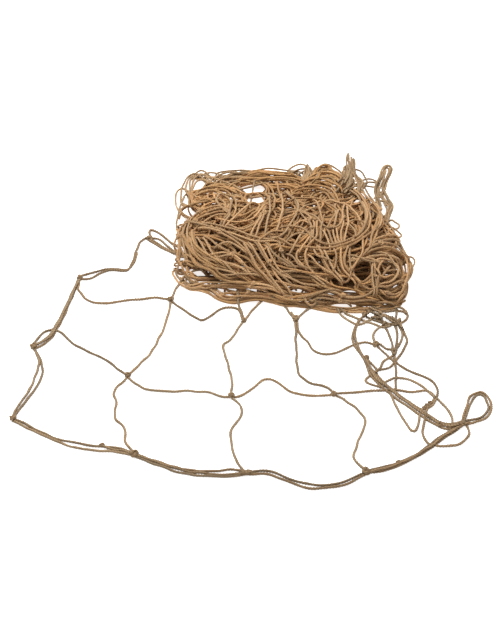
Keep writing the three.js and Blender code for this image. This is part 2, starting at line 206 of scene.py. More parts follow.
# Folds of the gathered net in the order they were laid in: start, middle, end, width and thickness in mm
FOLDS = [
    ((176, 52, 9), (52, 64, 9), (-60, 96, 9), 20, 16),
    ((-80, 104, 11), (55, 84, 11), (188, 80, 11), 46, 22),
    ((188, 124, 11), (55, 128, 11), (-82, 146, 11), 46, 22),
    ((-80, 186, 11), (55, 172, 11), (174, 166, 11), 44, 22),
    ((160, 204, 10), (50, 205, 10), (-74, 222, 10), 40, 19),
    ((-68, 274, 7), (28, 290, 7), (128, 272, 8), 22, 12),
    ((148, 214, 27), (60, 194, 30), (-56, 196, 25), 42, 20),
    ((-72, 150, 30), (55, 150, 34), (176, 150, 31), 48, 22),
    ((180, 104, 31), (60, 106, 35), (-62, 118, 30), 46, 22),
    ((-40, 80, 27), (60, 66, 31), (168, 62, 27), 38, 20),
]
FOLD_SINK = 0.86  # the folds' height as a share of the table's, so that they lie under the uppermost twines
REAR_FOLD = 5  # the fold at the rear, which only a few twines follow
REAR_TWINES = 3

# Bunches that show on the heap: places side by side, half width in mm, and points that the bunch follows
SWEEPS = {
    "rear rim": [(3, 6, [(-73, 295, 8), (-43, 301, 8), (-16, 305, 8), (9, 308, 8), (32, 308, 8),
        (62, 302, 9)])],
    "rear second": [(3, 9, [(-81, 266, 12), (-50, 284, 11), (-22, 295, 9), (28, 297, 9), (59, 290, 10),
        (77, 269, 15)])],
    "rear left fan": [
        (3, 5, [(-82, 217, 26), (-64, 225, 29), (-46, 219, 33), (-33, 196, 40), (-27, 166, 46)]),
        (3, 5, [(-65, 252, 19), (-45, 248, 22), (-26, 219, 33), (-17, 184, 43), (-21, 157, 48)]),
        (3, 5, [(-49, 273, 13), (-27, 264, 16), (-9, 228, 29), (0, 189, 42), (-8, 162, 47)]),
        (2, 4, [(-85, 249, 16), (-77, 208, 30), (-63, 183, 39), (-41, 159, 47)]),
    ],
    "fold edge": [(3, 4, [(-83, 163, 35), (-69, 176, 39), (-52, 180, 43), (-37, 176, 45), (-26, 160, 48),
        (-29, 144, 50)])],
    "upper arc": [
        (3, 5, [(-41, 142, 48), (-21, 153, 48), (-2, 164, 48), (13, 188, 43), (20, 225, 31)]),
        (3, 5, [(-21, 126, 51), (-2, 134, 52), (15, 155, 49), (27, 183, 44), (29, 226, 31)]),
        (3, 5, [(-4, 110, 52), (15, 123, 52), (31, 147, 50), (40, 179, 45), (40, 219, 33)]),
    ],
    "wide bow": [(4, 5, [(-89, 159, 33), (-58, 140, 47), (-37, 129, 52), (-19, 113, 54), (0, 102, 53),
        (19, 97, 53), (37, 100, 54), (49, 114, 56), (59, 143, 53), (61, 174, 48), (54, 202, 42),
        (40, 234, 30)])],
    "wide bow below": [(3, 5, [(-88, 148, 33), (-58, 129, 47), (-36, 117, 51), (-15, 104, 51), (7, 95, 51),
        (26, 92, 50)])],
    "left diagonal": [
        (4, 6, [(-86, 138, 33), (-62, 126, 44), (-36, 106, 47), (-15, 94, 47), (1, 82, 44), (15, 62, 32),
         (34, 45, 20), (49, 33, 12)]),
        (3, 5, [(0, 94, 49), (9, 76, 41), (23, 59, 31), (40, 45, 21), (59, 35, 16), (76, 34, 16)]),
        (3, 5, [(-40, 116, 47), (-19, 103, 47), (-4, 89, 45), (5, 71, 35), (17, 56, 25), (36, 43, 17)]),
    ],
    "left fall": [
        (3, 6, [(-84, 130, 30), (-77, 111, 29), (-64, 94, 27), (-42, 78, 28), (-19, 68, 29), (0, 59, 25)]),
        (3, 6, [(-75, 129, 37), (-66, 111, 35), (-51, 93, 33), (-30, 79, 34), (-10, 68, 31), (9, 57, 24)]),
        (3, 5, [(-64, 127, 39), (-49, 108, 40), (-27, 91, 40), (-8, 84, 39), (9, 70, 33)]),
    ],
    "low left bundle": [(5, 7, [(-88, 124, 27), (-79, 101, 23), (-60, 83, 23), (-36, 69, 24), (-12, 59, 23),
        (13, 54, 23), (38, 48, 23)])],
    "front light bundle": [(3, 4, [(-83, 79, 6), (-62, 63, 5), (-40, 59, 14), (-15, 55, 21), (17, 51, 23),
        (47, 47, 24), (81, 43, 24)])],
    "front slope": [(3, 6, [(17, 48, 17), (47, 44, 18), (76, 39, 17), (102, 33, 14), (133, 28, 11),
        (163, 26, 10)])],
    "bright front": [(2, 2, [(21, 40, 16), (47, 32, 13), (70, 32, 17), (93, 36, 22), (112, 37, 23)])],
    "centre ring": [
        (3, 4, [(70, 163, 48), (80, 146, 51), (82, 122, 53), (73, 101, 54), (58, 94, 52)]),
        (3, 4, [(74, 166, 48), (89, 151, 50), (94, 126, 53), (88, 101, 54), (75, 91, 51)]),
        (3, 5, [(56, 131, 52), (71, 126, 52), (83, 107, 53), (92, 91, 51)]),
        (3, 4, [(80, 203, 40), (90, 178, 45), (92, 146, 51), (88, 130, 53)]),
    ],
    "small bowl": [(3, 4, [(93, 130, 53), (100, 121, 53), (110, 123, 53), (116, 140, 51), (116, 164, 48)])],
    "rear ring": [
        (3, 4, [(78, 218, 34), (88, 249, 23), (100, 256, 21), (104, 233, 28), (95, 207, 38),
         (82, 198, 41)]),
        (3, 4, [(62, 221, 32), (75, 200, 40), (93, 206, 37), (107, 229, 29), (117, 262, 18)]),
    ],
    "rear middle": [(3, 6, [(27, 279, 13), (38, 250, 21), (56, 237, 25), (74, 244, 22), (91, 269, 15),
        (109, 285, 11)])],
    "big arc": [(4, 4, [(34, 92, 53), (51, 88, 53), (70, 84, 52), (94, 83, 52), (117, 86, 53),
        (136, 95, 55), (153, 116, 53), (166, 144, 48), (169, 176, 41), (162, 195, 37), (151, 211, 33),
        (141, 233, 28)])],
    "inner arc": [(4, 5, [(67, 127, 55), (79, 99, 56), (92, 89, 53), (109, 87, 53), (128, 91, 54),
        (142, 110, 54), (152, 144, 50), (152, 190, 42), (144, 235, 28), (131, 261, 21)])],
    "cross bunch": [
        (4, 5, [(108, 198, 41), (118, 183, 44), (123, 151, 50), (118, 119, 53), (113, 95, 53)]),
        (4, 5, [(117, 198, 41), (131, 171, 46), (143, 145, 49), (145, 118, 51), (134, 98, 53)]),
        (3, 5, [(117, 262, 18), (130, 249, 22), (142, 218, 31), (149, 180, 41)]),
    ],
    "middle drop": [
        (3, 4, [(70, 86, 50), (72, 66, 41), (80, 52, 32), (97, 44, 26), (114, 41, 24)]),
        (3, 4, [(36, 93, 49), (35, 75, 42), (45, 62, 35), (66, 55, 32), (89, 50, 30)]),
        (3, 4, [(94, 82, 48), (99, 65, 40), (103, 53, 33), (114, 46, 27)]),
    ],
    "middle bowl": [(3, 4, [(53, 82, 47), (49, 72, 42), (56, 64, 38), (66, 68, 40), (68, 80, 47)])],
    "right drop": [
        (5, 5, [(126, 90, 52), (119, 67, 43), (127, 53, 34), (142, 42, 25), (156, 38, 21)]),
        (4, 5, [(113, 85, 50), (112, 64, 40), (122, 49, 31), (137, 39, 23), (156, 34, 19)]),
        (4, 4, [(159, 64, 40), (157, 45, 28), (163, 33, 17), (178, 30, 10), (188, 33, 12)]),
    ],
    "right hook": [(3, 3, [(144, 38, 24), (163, 37, 23), (180, 40, 22), (195, 56, 24), (203, 80, 24)])],
    "swirl": [
        (3, 4, [(153, 65, 40), (166, 74, 42), (180, 75, 37), (187, 64, 31), (182, 52, 28), (170, 46, 27)]),
        (3, 4, [(140, 70, 43), (158, 84, 45), (179, 91, 40), (195, 87, 30), (194, 65, 26), (180, 49, 25)]),
    ],
    "right side": [
        (4, 5, [(136, 82, 47), (158, 94, 48), (182, 106, 39), (198, 102, 28), (202, 82, 22),
         (195, 54, 21)]),
        (4, 5, [(152, 104, 48), (175, 122, 41), (191, 134, 33), (195, 126, 30), (174, 105, 42),
         (154, 95, 48)]),
        (3, 5, [(183, 171, 28), (175, 148, 36), (164, 130, 44), (152, 115, 48)]),
    ],
    "light drop": [(2, 3, [(161, 137, 50), (156, 102, 53), (150, 75, 48), (144, 68, 45)])],
    "front rim right": [(3, 4, [(102, 33, 12), (133, 30, 10), (164, 29, 8), (185, 31, 10), (195, 45, 14),
        (198, 66, 17)])],
    "rear column": [
        (3, 4, [(23, 270, 22), (27, 247, 24), (27, 222, 28), (24, 197, 32)]),
        (3, 4, [(37, 272, 22), (41, 247, 24), (42, 220, 29), (40, 192, 34)]),
        (3, 4, [(52, 270, 22), (55, 244, 26), (60, 218, 31), (62, 192, 36)]),
        (3, 4, [(18, 266, 20), (20, 242, 23), (23, 217, 28), (29, 193, 33)]),
    ],
    "rear middle low": [(6, 6, [(15, 266, 16), (29, 259, 18), (43, 259, 20), (58, 258, 22),
        (72, 246, 25)])],
    "rear left mat": [
        (5, 6, [(-71, 258, 14), (-57, 265, 15), (-42, 266, 16), (-29, 258, 17), (-18, 239, 20)]),
        (5, 6, [(-73, 238, 17), (-60, 249, 17), (-45, 245, 19), (-31, 230, 22), (-23, 204, 28)]),
        (5, 6, [(-74, 218, 21), (-61, 226, 21), (-46, 224, 23), (-29, 210, 27), (-13, 205, 29)]),
        (4, 5, [(-60, 275, 13), (-45, 278, 14), (-30, 274, 15), (-16, 264, 16)]),
    ],
    "rear crest fill": [(5, 6, [(63, 246, 26), (80, 247, 29), (96, 243, 32), (110, 229, 36),
        (116, 206, 40)])],
    "rear rope": [(8, 8, [(-10, 294, 14), (10, 296, 16), (29, 296, 17), (48, 293, 18), (63, 287, 18)])],
    "rear rope lower": [(5, 5, [(-18, 284, 13), (1, 284, 16), (26, 283, 18), (51, 280, 19),
        (69, 271, 20)])],
    "rear crest": [(6, 6, [(75, 270, 20), (83, 277, 22), (93, 280, 24), (102, 280, 25), (112, 274, 27),
        (122, 259, 28)])],
    "rear crest lower": [(5, 6, [(64, 266, 21), (78, 272, 23), (94, 274, 25), (109, 267, 27),
        (119, 247, 30)])],
    "crest bunch": [(4, 3, [(86, 290, 23), (93, 302, 23), (102, 307, 23), (110, 302, 23), (116, 294, 24),
        (123, 284, 25)])],
    "crest bunch lower": [(5, 4, [(91, 278, 24), (96, 289, 24), (104, 293, 24), (112, 286, 25),
        (119, 274, 26)])],
    "rear left rope": [(3, 4, [(-50, 274, 14), (-37, 280, 15), (-20, 281, 16), (-4, 279, 17),
        (10, 276, 18)])],
    "rear middle high": [(5, 4, [(16, 263, 20), (30, 259, 22), (43, 258, 23), (58, 254, 24)])],
    "left shoulder": [
        (5, 5, [(-86, 135, 38), (-82, 117, 36), (-75, 99, 34), (-63, 84, 32), (-46, 72, 32)]),
        (5, 5, [(-78, 131, 41), (-74, 113, 39), (-66, 97, 37), (-54, 83, 36), (-38, 72, 35)]),
    ],
    "hollow floor": [(9, 11, [(122, 104, 19), (134, 94, 19), (148, 84, 19), (162, 75, 19)])],
    "front hollow floor": [(8, 10, [(88, 88, 11), (106, 81, 11), (126, 76, 11), (144, 71, 11)])],
    "front right rope": [(5, 5, [(91, 45, 12), (107, 37, 12), (126, 32, 12), (144, 31, 12),
        (159, 36, 13)])],
    "front right low": [(4, 4, [(86, 36, 8), (107, 34, 8), (126, 30, 8), (147, 30, 8), (165, 35, 9)])],
    "right wrap": [
        (4, 3, [(157, 51, 18), (166, 42, 15), (176, 38, 13), (187, 40, 13), (194, 52, 14)]),
        (4, 3, [(161, 53, 21), (170, 44, 18), (180, 41, 16), (191, 47, 16), (196, 60, 18)]),
        (4, 3, [(152, 48, 14), (165, 39, 11), (177, 35, 10), (188, 38, 10), (194, 47, 11)]),
    ],
    "front foot": [(2, 4, [(-90, 83, 5), (-77, 70, 4), (-57, 59, 5), (-44, 47, 4), (-27, 37, 4),
        (-10, 40, 4), (11, 38, 8), (30, 34, 7), (49, 28, 5), (80, 25, 4), (104, 19, 3), (128, 18, 3),
        (156, 20, 4), (185, 26, 7)])],
}

# Twines that lie uppermost on the heap, as points in mm: x, y and height of the middle
TOP_TWINES = {
    "wide bow": [
        [(-59, 140, 47), (-21, 120, 53), (3, 104, 54), (21, 99, 53), (36, 104, 55), (48, 120, 55),
         (62, 173, 48), (61, 188, 45), (47, 225, 33)],
        [(-60, 131, 47), (-47, 124, 51), (-12, 105, 52), (9, 97, 52), (30, 97, 53)],
        [(-80, 154, 38), (-45, 125, 51), (-4, 92, 49)],
    ],
    "upper ribs": [
        [(-38, 146, 51), (-18, 134, 53), (-1, 138, 54), (17, 177, 48)],
        [(-73, 155, 38), (-62, 163, 41), (-50, 168, 44), (-37, 167, 46)],
        [(-68, 146, 39), (-56, 155, 42), (-45, 160, 45), (-30, 157, 48)],
        [(-77, 151, 36), (-67, 161, 39), (-57, 168, 42), (-45, 174, 44)],
        [(-27, 130, 52), (-13, 118, 54), (-5, 121, 55), (8, 136, 55), (18, 166, 50)],
        [(14, 101, 53), (28, 114, 55), (36, 116, 55)],
        [(1, 111, 55), (13, 149, 53)],
        [(8, 113, 55), (18, 156, 52)],
        [(19, 118, 55), (24, 158, 51), (25, 196, 44)],
        [(34, 122, 55), (41, 159, 51), (41, 207, 41)],
        [(43, 144, 53), (50, 147, 52), (60, 160, 50)],
        [(-30, 133, 52), (-1, 181, 48)],
        [(-49, 171, 46), (-39, 173, 47), (-31, 166, 48), (-27, 156, 50), (-34, 137, 52)],
        [(-26, 192, 44), (-29, 158, 50), (-35, 146, 51)],
        [(-43, 211, 39), (-46, 193, 43), (-40, 177, 46), (-31, 166, 48)],
        [(-71, 169, 41), (-63, 175, 42), (-45, 179, 46), (-38, 175, 47)],
    ],
    "centre": [
        [(63, 162, 50), (78, 124, 55), (77, 105, 55)],
        [(65, 161, 50), (73, 153, 51), (82, 134, 54), (79, 107, 55)],
        [(68, 162, 50), (82, 150, 52), (96, 124, 55), (103, 120, 55), (111, 122, 55), (117, 131, 54),
         (120, 147, 52)],
        [(104, 139, 53), (109, 150, 52), (111, 180, 46)],
        [(109, 136, 54), (114, 163, 50)],
        [(82, 199, 42), (87, 187, 45), (92, 146, 52)],
        [(53, 195, 43), (65, 200, 42), (89, 198, 43), (99, 189, 44), (113, 162, 50)],
        [(67, 170, 49), (91, 190, 44)],
        [(68, 162, 50), (85, 173, 48)],
        [(60, 133, 54), (68, 139, 53), (74, 134, 54)],
        [(86, 134, 54), (84, 103, 55), (78, 96, 54)],
        [(92, 129, 55), (89, 99, 55)],
    ],
    "big arc": [
        [(43, 124, 55), (58, 124, 55), (66, 120, 55), (83, 97, 55), (101, 89, 53), (131, 99, 55),
         (145, 123, 52), (151, 162, 47), (144, 203, 39), (136, 235, 28)],
        [(32, 103, 55), (54, 88, 51), (78, 85, 51), (109, 86, 52), (132, 94, 54), (141, 103, 54),
         (154, 133, 50), (156, 155, 47), (151, 194, 41), (138, 243, 26)],
        [(122, 87, 52), (136, 94, 54), (147, 104, 53), (162, 127, 50), (167, 142, 47), (168, 176, 41),
         (149, 232, 28)],
        [(142, 114, 53), (152, 152, 48), (148, 192, 41)],
        [(159, 123, 50), (167, 136, 47), (172, 157, 43), (171, 175, 40), (166, 189, 39)],
    ],
    "cross": [
        [(111, 192, 44), (128, 177, 47), (143, 142, 51)],
        [(116, 97, 55), (119, 134, 54), (122, 177, 47)],
        [(120, 97, 55), (126, 134, 54), (126, 174, 48)],
        [(112, 96, 55), (111, 118, 55)],
        [(99, 116, 55), (105, 92, 53)],
        [(106, 116, 55), (109, 93, 54)],
        [(94, 114, 55), (100, 91, 53)],
        [(128, 127, 55), (135, 108, 54), (131, 98, 55)],
        [(127, 134, 54), (137, 143, 51), (144, 140, 51)],
        [(68, 114, 55), (55, 89, 52)],
        [(75, 103, 55), (67, 88, 52)],
        [(45, 95, 53), (59, 109, 55), (67, 109, 55)],
    ],
    "light drops": [
        [(161, 126, 50), (153, 95, 52), (151, 84, 49), (140, 71, 46)],
        [(144, 105, 53), (143, 81, 49), (135, 66, 44)],
        [(134, 69, 45), (151, 71, 45), (158, 69, 43)],
    ],
    "middle drops": [
        [(72, 87, 51), (69, 78, 49), (73, 62, 39), (84, 51, 32), (93, 46, 30)],
        [(75, 74, 47), (84, 64, 41), (97, 57, 37)],
        [(88, 81, 50), (98, 59, 38), (108, 50, 33)],
        [(95, 80, 49), (104, 58, 38), (110, 52, 34)],
        [(115, 85, 51), (117, 59, 39), (127, 48, 32)],
        [(123, 85, 52), (120, 73, 48), (122, 58, 39), (144, 39, 25), (151, 37, 22), (159, 38, 23),
         (162, 50, 32)],
        [(127, 81, 50), (126, 56, 38)],
        [(52, 75, 46), (61, 63, 40), (68, 61, 39)],
        [(61, 84, 50), (58, 76, 48), (59, 69, 43), (64, 64, 41)],
        [(41, 68, 41), (48, 62, 38), (66, 61, 38)],
        [(107, 81, 50), (110, 71, 46), (108, 64, 42)],
        [(81, 81, 50), (84, 74, 47), (97, 70, 46)],
    ],
    "right swirl": [
        [(163, 72, 41), (156, 66, 40), (154, 59, 38), (156, 39, 24)],
        [(168, 66, 36), (172, 60, 33), (178, 62, 33)],
        [(170, 57, 32), (176, 66, 35)],
        [(166, 72, 41), (160, 67, 40), (158, 60, 38), (160, 39, 24)],
        [(163, 40, 24), (172, 39, 23), (181, 44, 24), (190, 51, 25)],
        [(167, 70, 41), (162, 62, 38), (162, 55, 35), (166, 50, 31), (173, 50, 29), (178, 54, 30)],
        [(160, 58, 36), (157, 63, 39), (160, 69, 42), (166, 72, 43), (177, 75, 40), (185, 72, 35),
         (189, 64, 31), (186, 54, 28), (177, 46, 26), (167, 43, 27)],
        [(151, 81, 48), (173, 93, 45), (184, 96, 41), (199, 92, 29), (203, 72, 24), (200, 59, 22),
         (194, 43, 22)],
        [(155, 89, 50), (166, 95, 49), (186, 105, 40), (198, 98, 31)],
        [(158, 94, 51), (181, 114, 42), (190, 116, 37), (196, 111, 31), (198, 105, 27)],
        [(158, 102, 51), (183, 122, 41)],
        [(168, 83, 45), (176, 80, 41), (186, 68, 34)],
        [(152, 74, 46), (172, 80, 43), (181, 80, 39)],
        [(129, 75, 48), (146, 68, 44), (157, 66, 42), (165, 70, 40)],
        [(165, 38, 21), (169, 34, 17), (181, 31, 13), (188, 33, 14), (193, 39, 15)],
        [(170, 37, 20), (177, 34, 16), (185, 34, 15), (191, 39, 16)],
        [(193, 49, 21), (196, 44, 17), (195, 38, 14), (190, 32, 12)],
    ],
    "front arcs": [
        [(37, 57, 33), (68, 56, 35), (90, 44, 27)],
        [(34, 57, 32), (66, 43, 25), (83, 42, 25)],
        [(36, 50, 26), (57, 41, 22), (67, 40, 22)],
        [(43, 33, 13), (64, 31, 14), (108, 37, 22)],
        [(100, 35, 19), (130, 28, 15), (150, 31, 18), (156, 36, 21)],
        [(90, 33, 17), (128, 24, 11), (154, 26, 14)],
        [(85, 30, 14), (123, 23, 10)],
        [(83, 41, 14), (98, 35, 13), (116, 30, 12), (134, 28, 12), (151, 30, 13)],
        [(88, 43, 16), (102, 37, 15), (118, 32, 14), (134, 30, 14), (149, 33, 15)],
        [(90, 34, 11), (107, 30, 10), (125, 28, 9), (143, 28, 9), (160, 30, 10)],
        [(93, 37, 13), (111, 33, 12), (129, 31, 11), (144, 30, 11), (157, 33, 12)],
    ],
    "left falls": [
        [(-79, 122, 35), (-74, 102, 30), (-68, 94, 28), (-41, 79, 33)],
        [(-73, 120, 39), (-62, 91, 30), (-44, 80, 32)],
        [(-67, 116, 40), (-57, 94, 34), (-31, 73, 33)],
        [(-59, 112, 42), (-55, 100, 39), (-40, 81, 34), (-10, 65, 32)],
        [(-56, 115, 44), (-45, 100, 44), (-30, 88, 43), (-5, 66, 34), (3, 63, 32)],
        [(-44, 90, 39), (-36, 89, 41), (-18, 79, 40), (-6, 66, 33)],
        [(-41, 84, 36), (-26, 82, 41)],
        [(-86, 125, 31), (-76, 104, 30)],
    ],
    "long diagonals": [
        [(-37, 114, 51), (-4, 84, 46), (3, 71, 38), (33, 42, 19)],
        [(-9, 96, 50), (7, 66, 36), (29, 45, 21)],
        [(-1, 95, 50), (14, 68, 38), (38, 40, 18)],
        [(10, 96, 51), (16, 83, 48), (30, 58, 32), (48, 39, 19)],
        [(4, 99, 52), (23, 68, 39), (48, 47, 26)],
        [(19, 94, 51), (33, 75, 45), (51, 64, 39)],
        [(20, 89, 50), (36, 59, 35), (45, 54, 31)],
        [(-37, 100, 46), (-30, 101, 48), (-13, 89, 47)],
        [(24, 89, 50), (32, 92, 51), (37, 90, 51)],
        [(37, 93, 52), (41, 74, 44), (49, 67, 41)],
    ],
    "low left": [
        [(-82, 103, 25), (-62, 82, 23), (-20, 63, 28)],
        [(-85, 97, 19), (-66, 88, 19), (-48, 78, 20), (-30, 70, 22), (-6, 58, 24)],
        [(-71, 86, 21), (-44, 68, 22), (-28, 62, 24), (5, 59, 29)],
    ],
    "left edge": [
        [(-89, 153, 32), (-92, 119, 25), (-95, 94, 11)],
        [(-96, 146, 28), (-94, 120, 24), (-96, 110, 19), (-89, 91, 12)],
        [(-85, 159, 35), (-89, 130, 30), (-84, 103, 24)],
        [(-80, 158, 38), (-84, 146, 36), (-81, 117, 33)],
        [(-98, 136, 24), (-91, 154, 31), (-83, 155, 36)],
        [(-95, 101, 14), (-87, 97, 14), (-79, 92, 16), (-70, 89, 17)],
        [(-92, 108, 18), (-84, 105, 19), (-75, 95, 20), (-65, 84, 20)],
    ],
    "front foot": [
        [(-76, 83, 12), (-87, 91, 5), (-95, 99, 3), (-101, 98, 3), (-103, 94, 3), (-101, 89, 2),
         (-96, 79, 2), (-91, 71, 2), (-85, 64, 2), (-78, 59, 2), (-67, 58, 2), (-58, 55, 2), (-49, 47, 2),
         (-38, 39, 2), (-28, 34, 2), (-18, 35, 2), (-8, 39, 2), (4, 40, 2), (15, 38, 2), (28, 33, 2),
         (41, 29, 2), (54, 27, 2), (66, 27, 2), (79, 25, 2), (92, 22, 2), (104, 18, 2), (119, 16, 2),
         (132, 14, 2), (147, 15, 2)],
        [(-88, 65, 3), (-76, 60, 4), (-64, 62, 4), (-54, 58, 3), (-44, 48, 2), (-32, 38, 3), (-19, 37, 5),
         (-6, 40, 5), (9, 40, 5), (22, 38, 4), (37, 33, 3), (62, 30, 3), (85, 25, 3), (99, 22, 2),
         (114, 19, 2), (130, 17, 2), (145, 17, 3)],
        [(-70, 67, 5), (-58, 62, 6), (-49, 53, 5), (-37, 40, 4), (-24, 36, 6), (-13, 40, 7), (1, 43, 8),
         (14, 42, 8), (29, 37, 7), (45, 32, 5), (69, 30, 4), (88, 27, 3), (102, 20, 3), (121, 19, 3),
         (137, 19, 3), (158, 19, 5)],
        [(-32, 52, 4), (-19, 45, 5), (-5, 43, 7), (9, 41, 6), (23, 37, 4)],
        [(-38, 47, 4), (-26, 47, 6), (-13, 46, 8), (0, 44, 9), (15, 42, 10), (31, 37, 9), (43, 33, 6)],
        [(-19, 58, 16), (-15, 52, 9), (-17, 42, 4)],
        [(-13, 56, 16), (-12, 50, 9), (-14, 40, 4)],
        [(-10, 50, 8), (1, 44, 5), (13, 39, 3)],
        [(-37, 44, 4), (-26, 39, 7), (-14, 40, 9), (4, 38, 8), (22, 37, 7), (40, 33, 7), (62, 28, 6)],
        [(-50, 63, 5), (-32, 40, 2)],
        [(-39, 59, 6), (-28, 53, 6), (-15, 49, 7)],
        [(-48, 62, 5), (-41, 54, 4), (-34, 43, 3)],
        [(-54, 66, 6), (-40, 45, 2)],
        [(-37, 63, 5), (-23, 49, 3), (-4, 42, 6)],
        [(14, 45, 6), (76, 23, 3)],
        [(73, 30, 5), (89, 29, 6), (103, 30, 7), (121, 31, 7), (139, 30, 7), (159, 27, 8), (179, 26, 8)],
        [(99, 22, 2), (116, 18, 2), (133, 17, 2), (149, 20, 3), (164, 23, 4)],
        [(55, 32, 6), (69, 31, 8), (83, 29, 9), (97, 28, 8)],
        [(62, 30, 5), (76, 29, 6), (92, 28, 6)],
        [(67, 33, 14), (72, 24, 7), (78, 24, 6), (84, 28, 8), (84, 36, 15)],
        [(73, 34, 14), (74, 29, 10), (79, 27, 9), (83, 32, 12)],
        [(-14, 51, 9), (12, 48, 6), (36, 47, 10)],
        [(-79, 64, 4), (-57, 65, 9), (-45, 62, 13), (25, 43, 22)],
        [(-76, 61, 3), (-62, 62, 5), (-29, 55, 14), (32, 39, 18)],
        [(-59, 58, 4), (-45, 57, 9), (19, 43, 14)],
    ],
}

